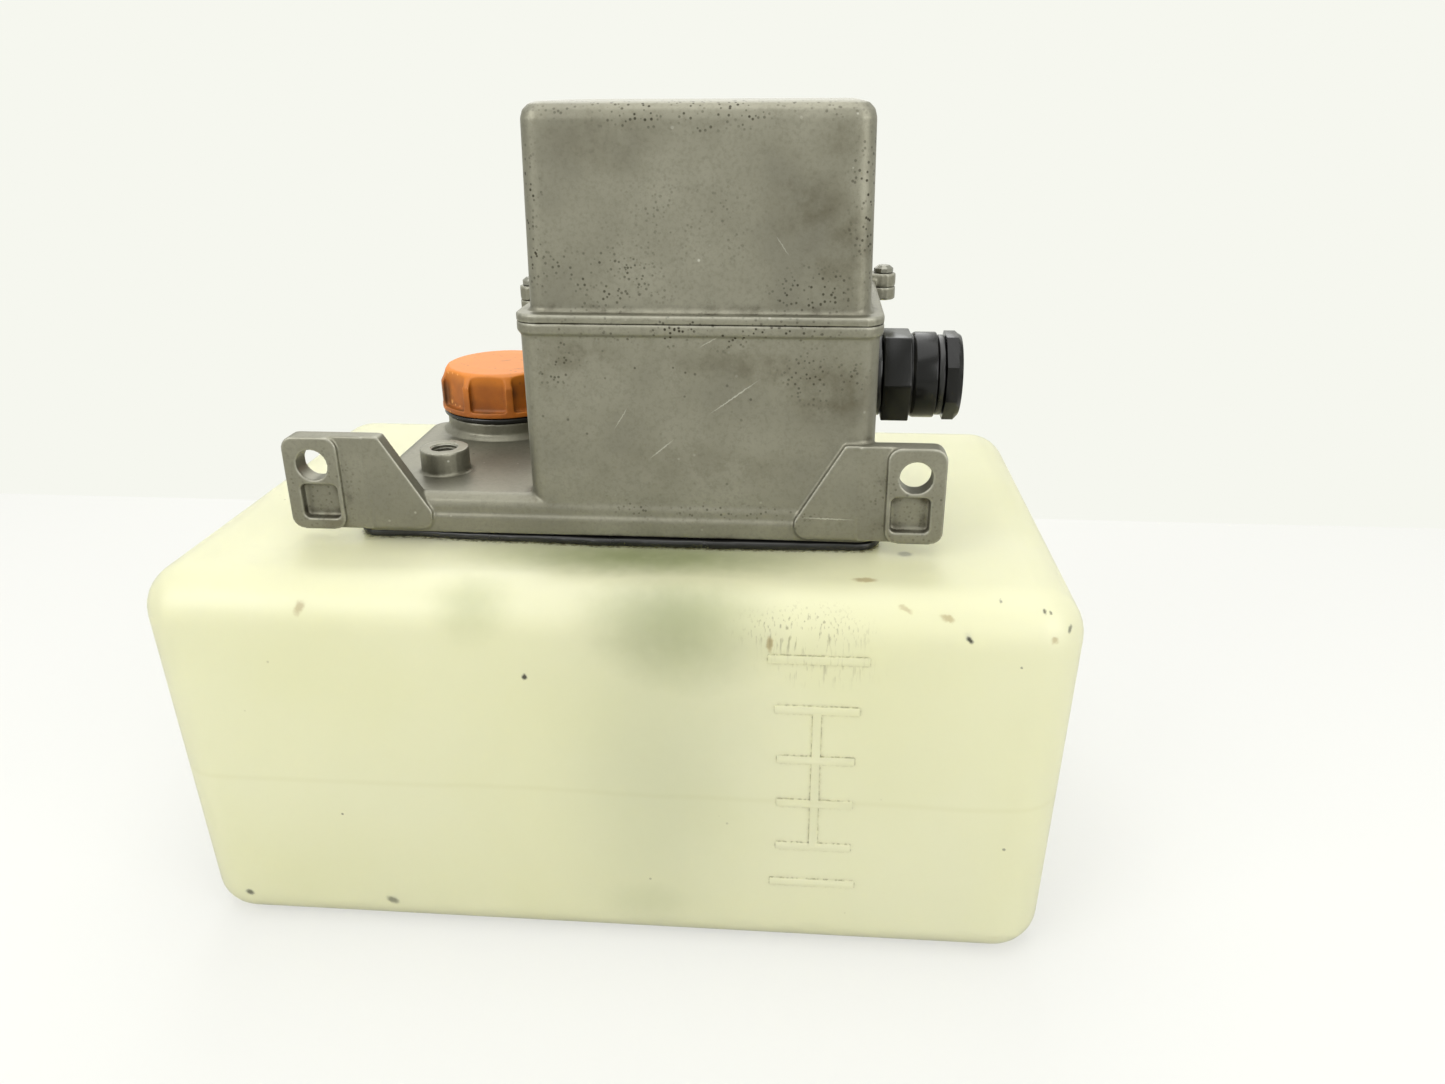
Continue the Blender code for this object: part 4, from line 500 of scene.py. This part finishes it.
# moulded nitrile rubber: black and oily, so it gleams
blackRubber = grainedMaterial("nitrileRubber", ("080808", "121211"), 1.2 * mm, (0.18, 0.42))
# moulded black polyamide: smooth, near gloss
blackPlastic = grainedMaterial("blackPolyamide", ("070707", "0E0E0D"), 0.6 * mm, (0.16, 0.3), gloss=0.28)
# zinc-plated steel: grey, its plating dulled
platedSteel = grainedMaterial("zincPlatedSteel", ("77766C", "9C9B92"), 0.7 * mm, (0.32, 0.55), metallic=1.0)
# turned brass: warm yellow and fairly bright
turnedBrass = grainedMaterial("turnedBrass", ("A07D3A", "BB9850"), 0.5 * mm, (0.25, 0.4), metallic=1.0)
# woven steel mesh: grey, with the deepest grain of these finishes
wovenMesh = grainedMaterial("wovenSteelMesh", ("6F706D", "A5A6A2"), 1.2 * mm, (0.35, 0.55), metallic=1.0,
                            depth=0.4 * mm)
# drawn copper: reddish and smooth
drawnCopper = grainedMaterial("drawnCopper", ("9A5A36", "BA7448"), 0.6 * mm, (0.25, 0.45), metallic=1.0)
# moulded polyamide in its own colour: off-white and matt
palePlastic = grainedMaterial("paleMouldedPolyamide", ("CFCBBA", "DEDACB"), 0.6 * mm, (0.4, 0.6))
# painted steel: mid grey with some metal in its shine
motorSteel = grainedMaterial("paintedMotorSteel", ("606264", "78797A"), 0.8 * mm, (0.35, 0.55), metallic=0.6)
print("materials made")

innerFinishes = {
    "zinc_plated_steel": platedSteel, "brass": turnedBrass, "steel_mesh": wovenMesh,
    "copper_pipe": drawnCopper, "pale_plastic": palePlastic, "motor_steel": motorSteel,
    "black_plastic": blackPlastic, "black_rubber": blackRubber, "cast_aluminium": castMetal,
}
for part in frame["record"]["subparts"]:
    if part["material_slot"] in innerFinishes:
        node = nodes[part["node"]]
        node.data.materials.clear()
        node.data.materials.append(innerFinishes[part["material_slot"]])

# Tank with its raised level scale
tankShape = {
    "width": 329.8 * mm, "depth": 203.8 * mm, "height": 149 * mm, "draft": 3.5 * mm, "wall": 3 * mm,
    "corner": 18 * mm, "shoulder": 17.6 * mm, "foot": 14 * mm, "cornerSteps": 12, "edgeSteps": 10,
    "opening": (-35 * mm, -43.4 * mm, 74 * mm, 18.6 * mm), "filler": (-61.7 * mm, 30.4 * mm, 19 * mm),
    "cutHeight": 12 * mm, "throatSides": 64, "smoothAngle": 35,
}
# in mm: each bar's left end, right end and height, and the post's left, right, foot and top
scaleBars = {
    "raise": 0.55 * mm, "sunk": 1 * mm, "tall": 3.2, "edge": 0.3 * mm, "edgeSteps": 2,
    "bars": [(58.5, 92.5, 127), (61, 90, 107.4), (62, 89, 87), (62, 89, 68.5), (62, 89, 49.5),
             (60, 91, 32.9)],
    "post": (74, 77, 49.5, 107.4),
}


def frontOfTank(z):
    return -tankShape["depth"] / 2 + tankShape["draft"] * (tankShape["height"] - z) / tankShape["height"]


def makeBars(shape):
    boxes = [(x0, x1, z - shape["tall"] / 2, z + shape["tall"] / 2) for x0, x1, z in shape["bars"]]
    lean = math.atan(tankShape["draft"] / tankShape["height"])
    bars = []
    for x0, x1, z0, z1 in boxes + [shape["post"]]:
        centre = (z0 + z1) / 2 * mm
        bpy.ops.mesh.primitive_cube_add(size=1, location=((x0 + x1) / 2 * mm, frontOfTank(centre), centre))
        bar = bpy.context.object
        bar.scale = ((x1 - x0) * mm, shape["raise"] + shape["sunk"], (z1 - z0) * mm)
        bar.location.y += (shape["sunk"] - shape["raise"]) / 2
        bar.rotation_euler.x = lean
        settle(bar)
        roundEdges(bar, shape["edge"], shape["edgeSteps"])
        bars.append(bar)
    return bars


def makeTank(shape):
    height = shape["height"]
    nearby = 1 * mm
    bpy.ops.mesh.primitive_cube_add(size=1, location=(0, 0, height / 2))
    tank = bpy.context.object
    tank.name = "tankShell"
    tank.scale = (shape["width"], shape["depth"], height)
    settle(tank)
    bpy.ops.object.mode_set(mode="EDIT")
    editFaces(tank, lambda face: face.normal.z < -squarely)
    narrower = [1 - 2 * shape["draft"] / shape[side] for side in ("width", "depth")]
    bpy.ops.transform.resize(value=(*narrower, 1))
    editEdges(tank, lambda a, b: abs(a.z - b.z) > height / 2)
    bpy.ops.mesh.bevel(offset=shape["corner"], segments=shape["cornerSteps"])
    editEdges(tank, lambda a, b: min(a.z, b.z) > height - nearby)
    bpy.ops.mesh.bevel(offset=shape["shoulder"], segments=shape["edgeSteps"])
    editEdges(tank, lambda a, b: max(a.z, b.z) < nearby)
    bpy.ops.mesh.bevel(offset=shape["foot"], segments=shape["edgeSteps"])
    bpy.ops.object.mode_set(mode="OBJECT")
    wall = tank.modifiers.new("wall", "SOLIDIFY")
    wall.thickness = shape["wall"]
    wall.offset = -1
    applyModifiers(tank)
    left, front, right, back = shape["opening"]
    reach = shape["cutHeight"] / 2
    carve(tank, boxAt((left, front, height - reach), (right, back, height + reach)))
    x, y, radius = shape["filler"]
    bpy.ops.mesh.primitive_cylinder_add(vertices=shape["throatSides"], radius=radius,
                                        depth=shape["cutHeight"], location=(x, y, height))
    throat = bpy.context.object
    settle(throat)
    carve(tank, throat)
    for bar in makeBars(scaleBars):
        carve(tank, bar, "UNION")
    bpy.ops.object.shade_smooth_by_angle(angle=math.radians(shape["smoothAngle"]))
    return tank


finishPiece(makeTank(tankShape), "frame", tankPlastic, "tank_polyethylene", "tank")
print("tank made")

# Castings: the solid's own shape with the small fillets a die gives
headShape = {
    "voxel": 0.55 * mm, "rounds": 3, "keep": 190000, "flangeTop": 229.2 * mm, "lip": 0.56 * mm,
    "neckFoot": (-61.7 * mm, 30.4 * mm, 167.2 * mm), "footRadius": 25 * mm, "footBead": 1.5 * mm,
    "footSteps": (72, 12),
    "gussetStep": ((66 * mm, -64 * mm, 150 * mm), (88.2 * mm, -61.8 * mm, 192 * mm)),
}
coverShape = {"voxel": 0.6 * mm, "rounds": 3, "keep": 120000, "flangeFoot": 230.3 * mm, "lip": 0.56 * mm}


# the level faces at one height are moved up or down
def shiftLevel(piece, level, rise):
    nearby = 0.05 * mm
    bpy.ops.object.mode_set(mode="EDIT")
    editFaces(piece, lambda face: (abs(face.normal.z) > squarely
                                   and abs(face.calc_center_median().z - level) < nearby))
    bpy.ops.transform.translate(value=(0, 0, rise))
    bpy.ops.object.mode_set(mode="OBJECT")


def makeHead(shape):
    head = copyOf("pump_body", "headCasting")
    shiftLevel(head, shape["flangeTop"], shape["lip"])
    around, across = shape["footSteps"]
    bpy.ops.mesh.primitive_torus_add(location=shape["neckFoot"], major_radius=shape["footRadius"],
                                     minor_radius=shape["footBead"], major_segments=around,
                                     minor_segments=across)
    foot = bpy.context.object
    settle(foot)
    carve(head, foot, "UNION")
    low, high = shape["gussetStep"]
    carve(head, boxAt(low, high))
    carve(head, boxAt((-high[0], low[1], low[2]), (-low[0], high[1], high[2])))
    easeSkin(head, shape["voxel"], shape["rounds"], shape["keep"])
    return head


def makeCover(shape):
    cover = copyOf("cover", "coverCasting")
    shiftLevel(cover, shape["flangeFoot"], -shape["lip"])
    easeSkin(cover, shape["voxel"], shape["rounds"], shape["keep"])
    return cover


finishPiece(makeHead(headShape), "frame", castMetal, "cast_aluminium", "pump_body")
finishPiece(makeCover(coverShape), "frame", castMetal, "cast_aluminium", "cover")

# Thread cut in the outlet's bore: one round crest for each turn, down the hole
threadShape = {
    "centre": (-69.4 * mm, -31.8 * mm), "top": 175.2 * mm, "radius": 5.2 * mm, "crest": 0.42 * mm,
    "pitch": 1.25 * mm, "turns": 8, "steps": (40, 8),
}


def makeThread(shape):
    around, across = shape["steps"]
    crests = []
    for turn in range(shape["turns"]):
        place = (*shape["centre"], shape["top"] - turn * shape["pitch"])
        bpy.ops.mesh.primitive_torus_add(location=place, major_radius=shape["radius"],
                                         minor_radius=shape["crest"], major_segments=around,
                                         minor_segments=across)
        crest = bpy.context.object
        settle(crest)
        crests.append(crest)
    thread = joinPieces(crests)
    thread.name = "outletThread"
    bpy.ops.object.shade_smooth()
    return thread


finishPiece(makeThread(threadShape), "frame", castMetal, "cast_aluminium")
print("castings made")

# Rubber squeezed out under the casting: its edge wanders in and out
sealShape = {
    "voxel": 0.8 * mm, "rounds": 4, "keep": 60000, "wander": 1.5 * mm, "length": 17 * mm,
    "bow": 1.2 * mm, "tuck": 2.6 * mm, "middle": 25 * mm, "reach": 95 * mm, "frontFrom": -50 * mm,
}


def makeSeal(shape):
    seal = copyOf("tank_gasket", "tankSeal")
    evenSkin(seal, shape["voxel"])
    waves = bpy.data.textures.new("sealWaves", "CLOUDS")
    waves.noise_scale = shape["length"]
    squeeze = seal.modifiers.new("squeeze", "DISPLACE")
    squeeze.texture = waves
    squeeze.texture_coords = "LOCAL"
    squeeze.direction = "Y"
    squeeze.strength = shape["wander"]
    squeeze.mid_level = 0.5
    applyModifiers(seal)
    for vertex in seal.data.vertices:  # pressed out in the middle of its front, tucked in at the ends
        if vertex.co.y < shape["frontFrom"]:
            share = min(1.0, abs(vertex.co.x - shape["middle"]) / shape["reach"])
            vertex.co.y += shape["tuck"] * share ** 2 - shape["bow"] * (1 - share ** 2)
    easeSkin(seal, shape["voxel"], shape["rounds"], shape["keep"])
    return seal


finishPiece(makeSeal(sealShape), "frame", blackRubber, "black_rubber", "tank_gasket")

# Cap ring and gland: the solids with eased edges
easedEdges = {"steps": 3, "sharpAngle": 28, "smoothAngle": 40}
easedPieces = {
    "capRing": ("cap_gasket", "cap_seal", 0.7 * mm, blackRubber, "black_rubber"),
    "glandWasher": ("gland_seal", "frame", 0.6 * mm, blackRubber, "black_rubber"),
    "glandBody": ("gland_body", "frame", 0.5 * mm, blackPlastic, "black_plastic"),
    "glandCuff": ("gland_seal_ring", "frame", 0.6 * mm, blackRubber, "black_rubber"),
    "glandNut": ("gland_nut", "frame", 0.5 * mm, blackPlastic, "black_plastic"),
}


def makeEased(name, node, width, shape):
    piece = copyOf(node, name)
    roundEdges(piece, width, shape["steps"], shape["sharpAngle"])
    bpy.ops.object.shade_smooth_by_angle(angle=math.radians(shape["smoothAngle"]))
    return piece


for name, (node, body, width, material, slot) in easedPieces.items():
    finishPiece(makeEased(name, node, width, easedEdges), body, material, slot, node)
print("seals and gland made")

# Filler cap: a steep crown over nine flat panels, thin ribs between them and a lip below
capShape = {
    "centre": (-61.7 * mm, 30.4 * mm), "foot": 176.8 * mm, "radius": 26.8 * mm, "sides": 108,
    "wall": 12.4 * mm, "height": 18.2 * mm,
    "crown": [(24.5 * mm, 4.5 * mm), (22.6 * mm, 0.95 * mm), (15 * mm, 0.35 * mm)],
    "plug": 20.65 * mm, "plugLength": 10 * mm, "plugWall": 3 * mm, "roof": 3.7 * mm,
    "panels": 9, "firstRib": 249, "panelWidth": 15 * mm, "flat": 23.8 * mm, "lip": 2.2 * mm,
    "panelEdge": 1 * mm, "panelSteps": 4, "cutDepth": 10 * mm, "cutHeight": 20 * mm,
    "voxel": 0.38 * mm, "rounds": 3, "keep": 90000,
}


def makePanelCutters(shape):
    x, y = shape["centre"]
    each = 360 / shape["panels"]
    reach = shape["flat"] + shape["cutDepth"] / 2
    z = shape["foot"] + shape["lip"] + shape["cutHeight"] / 2
    cutters = []
    for index in range(shape["panels"]):
        angle = math.radians(shape["firstRib"] + each * (index + 0.5))
        place = (x + reach * math.cos(angle), y + reach * math.sin(angle), z)
        bpy.ops.mesh.primitive_cube_add(size=1, location=place, rotation=(0, 0, angle))
        cutter = bpy.context.object
        cutter.scale = (shape["cutDepth"], shape["panelWidth"], shape["cutHeight"])
        settle(cutter)
        roundEdges(cutter, shape["panelEdge"], shape["panelSteps"])
        cutters.append(cutter)
    return cutters


def makeCap(shape):
    x, y = shape["centre"]
    bpy.ops.mesh.primitive_cylinder_add(vertices=shape["sides"], radius=shape["radius"], depth=shape["wall"],
                                        location=(x, y, shape["foot"] + shape["wall"] / 2))
    cap = bpy.context.object
    cap.name = "fillerCap"
    settle(cap)
    bpy.ops.object.mode_set(mode="EDIT")
    editFaces(cap, lambda face: face.normal.z > squarely)
    radius = shape["radius"]
    for narrower, rise in shape["crown"]:
        bpy.ops.mesh.extrude_region_move(TRANSFORM_OT_translate={"value": (0, 0, rise)})
        bpy.ops.transform.resize(value=(narrower / radius, narrower / radius, 1))
        radius = narrower
    editFaces(cap, lambda face: face.normal.z < -squarely)
    bpy.ops.mesh.inset(thickness=shape["radius"] - shape["plug"])
    bpy.ops.mesh.extrude_region_move(TRANSFORM_OT_translate={"value": (0, 0, -shape["plugLength"])})
    bpy.ops.mesh.inset(thickness=shape["plugWall"])
    rise = shape["plugLength"] + shape["height"] - shape["roof"]
    bpy.ops.mesh.extrude_region_move(TRANSFORM_OT_translate={"value": (0, 0, rise)})
    bpy.ops.object.mode_set(mode="OBJECT")
    for cutter in makePanelCutters(shape):
        carve(cap, cutter)
    easeSkin(cap, shape["voxel"], shape["rounds"], shape["keep"])
    return cap


finishPiece(makeCap(capShape), "cap", capPlastic, "orange_plastic", "filler_cap")
print("cap made")

# Return spring: the solid's coil, smooth-shaded
springShape = {"stroke": 12 * mm, "smoothAngle": 60}


def makeSpring(shape):
    spring = copyOf("return_spring", "returnCoil")
    bpy.ops.object.shade_smooth_by_angle(angle=math.radians(shape["smoothAngle"]))
    return spring


coil = makeSpring(springShape)
finishPiece(coil, "frame", platedSteel, "zinc_plated_steel", "return_spring")
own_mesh(coil)
print("spring made")

# Table top: white to the eye, and it keeps the shadow
table = {"left": -3.0, "right": 3.0, "front": -3.0, "back": 0.362, "below": 0.4 * mm, "glow": 0.5}
bpy.ops.mesh.primitive_plane_add(size=1, location=((table["left"] + table["right"]) / 2,
                                                   (table["front"] + table["back"]) / 2, -table["below"]))
floor = bpy.context.object
floor.name = "floor"
floor.scale = (table["right"] - table["left"], table["back"] - table["front"], 1)
settle(floor)
floorMaterial, floorTree, floorShader = newMaterial("whiteTable", {
    "Roughness": 0.7, "Base Color": colour("CDCDC6"),
})[:3]
rays = addNode(floorTree, "LightPath")
shown = addNode(floorTree, "Math", {"operation": "MULTIPLY", 1: table["glow"]},
                {0: rays.outputs["Is Camera Ray"]})
glow = addNode(floorTree, "Emission", {"Strength": 1.0})
mixed = addNode(floorTree, "MixShader", None, {0: shown.outputs["Value"], 1: floorShader.outputs["BSDF"],
                                               2: glow.outputs["Emission"]})
floorTree.links.new(mixed.outputs["Shader"], floorTree.nodes["Material Output"].inputs["Surface"])
floor.data.materials.append(floorMaterial)

# Studio: the walls are at full strength where they are seen, mirrored or seen through, and lower as light
studio = {"walls": "F6F7EF", "light": 0.72, "seen": 1.0}
world = bpy.data.worlds.new("studio")
bpy.context.scene.world = world
world.use_nodes = True
worldTree = world.node_tree
paths = addNode(worldTree, "LightPath")
seen = addNode(worldTree, "Math", {"operation": "MAXIMUM"},
               {0: paths.outputs["Is Camera Ray"], 1: paths.outputs["Is Glossy Ray"]})
through = addNode(worldTree, "Math", {"operation": "MAXIMUM"},
                  {0: seen.outputs["Value"], 1: paths.outputs["Is Transmission Ray"]})
strength = addNode(worldTree, "MapRange", {"To Min": studio["light"], "To Max": studio["seen"]},
                   {"Value": through.outputs["Value"]})
background = worldTree.nodes["Background"]
background.inputs["Color"].default_value = colour(studio["walls"])
worldTree.links.new(strength.outputs["Result"], background.inputs["Strength"])

# place, aim, width and power
lamps = {
    "overhead": ((0.05, -0.05, 1.3), (0.0, 0.0, 0.1), 1.2, 8.5),
    "leftFront": ((-0.9, -1.0, 0.9), (0.0, 0.0, 0.15), 0.9, 11),
    "rightFront": ((1.0, -0.9, 0.7), (0.0, 0.0, 0.15), 0.9, 10),
    "behind": ((-0.15, 0.95, 1.0), (0.0, 0.0, 0.12), 1.0, 6.5),
}
for name, (place, aim, width, power) in lamps.items():
    bpy.ops.object.light_add(type="AREA", location=place)
    lamp = bpy.context.object
    lamp.name = name
    lamp.data.size = width
    lamp.data.energy = power
    lamp.rotation_euler = (Vector(aim) - Vector(place)).to_track_quat("-Z", "Y").to_euler()

# Camera: focal length and image width in pixels, roll in degrees
view = {
    "place": (0.06963, -0.41729, 0.30187), "forward": (-0.0759, 0.9189, -0.3872), "roll": -0.31,
    "focal": 1075.46, "imageWidth": 1445, "sensor": 36, "nearest": 10 * mm,
}
forward = Vector(view["forward"]).normalized()
right = forward.cross(Vector((0, 0, 1))).normalized()
up = right.cross(forward)
roll = math.radians(view["roll"])
rolledRight = right * math.cos(roll) + up * math.sin(roll)
rolledUp = up * math.cos(roll) - right * math.sin(roll)
cameraData = bpy.data.cameras.new("photoView")
cameraData.sensor_width = view["sensor"]
cameraData.lens = view["sensor"] * view["focal"] / view["imageWidth"]
cameraData.clip_start = view["nearest"]
camera = bpy.data.objects.new("photoView", cameraData)
bpy.context.scene.collection.objects.link(camera)
turn = Matrix((rolledRight, rolledUp, -forward)).transposed().to_4x4()
camera.matrix_world = Matrix.Translation(view["place"]) @ turn
bpy.context.scene.camera = camera
bpy.context.scene.view_settings.view_transform = "Standard"

print("scene ready")
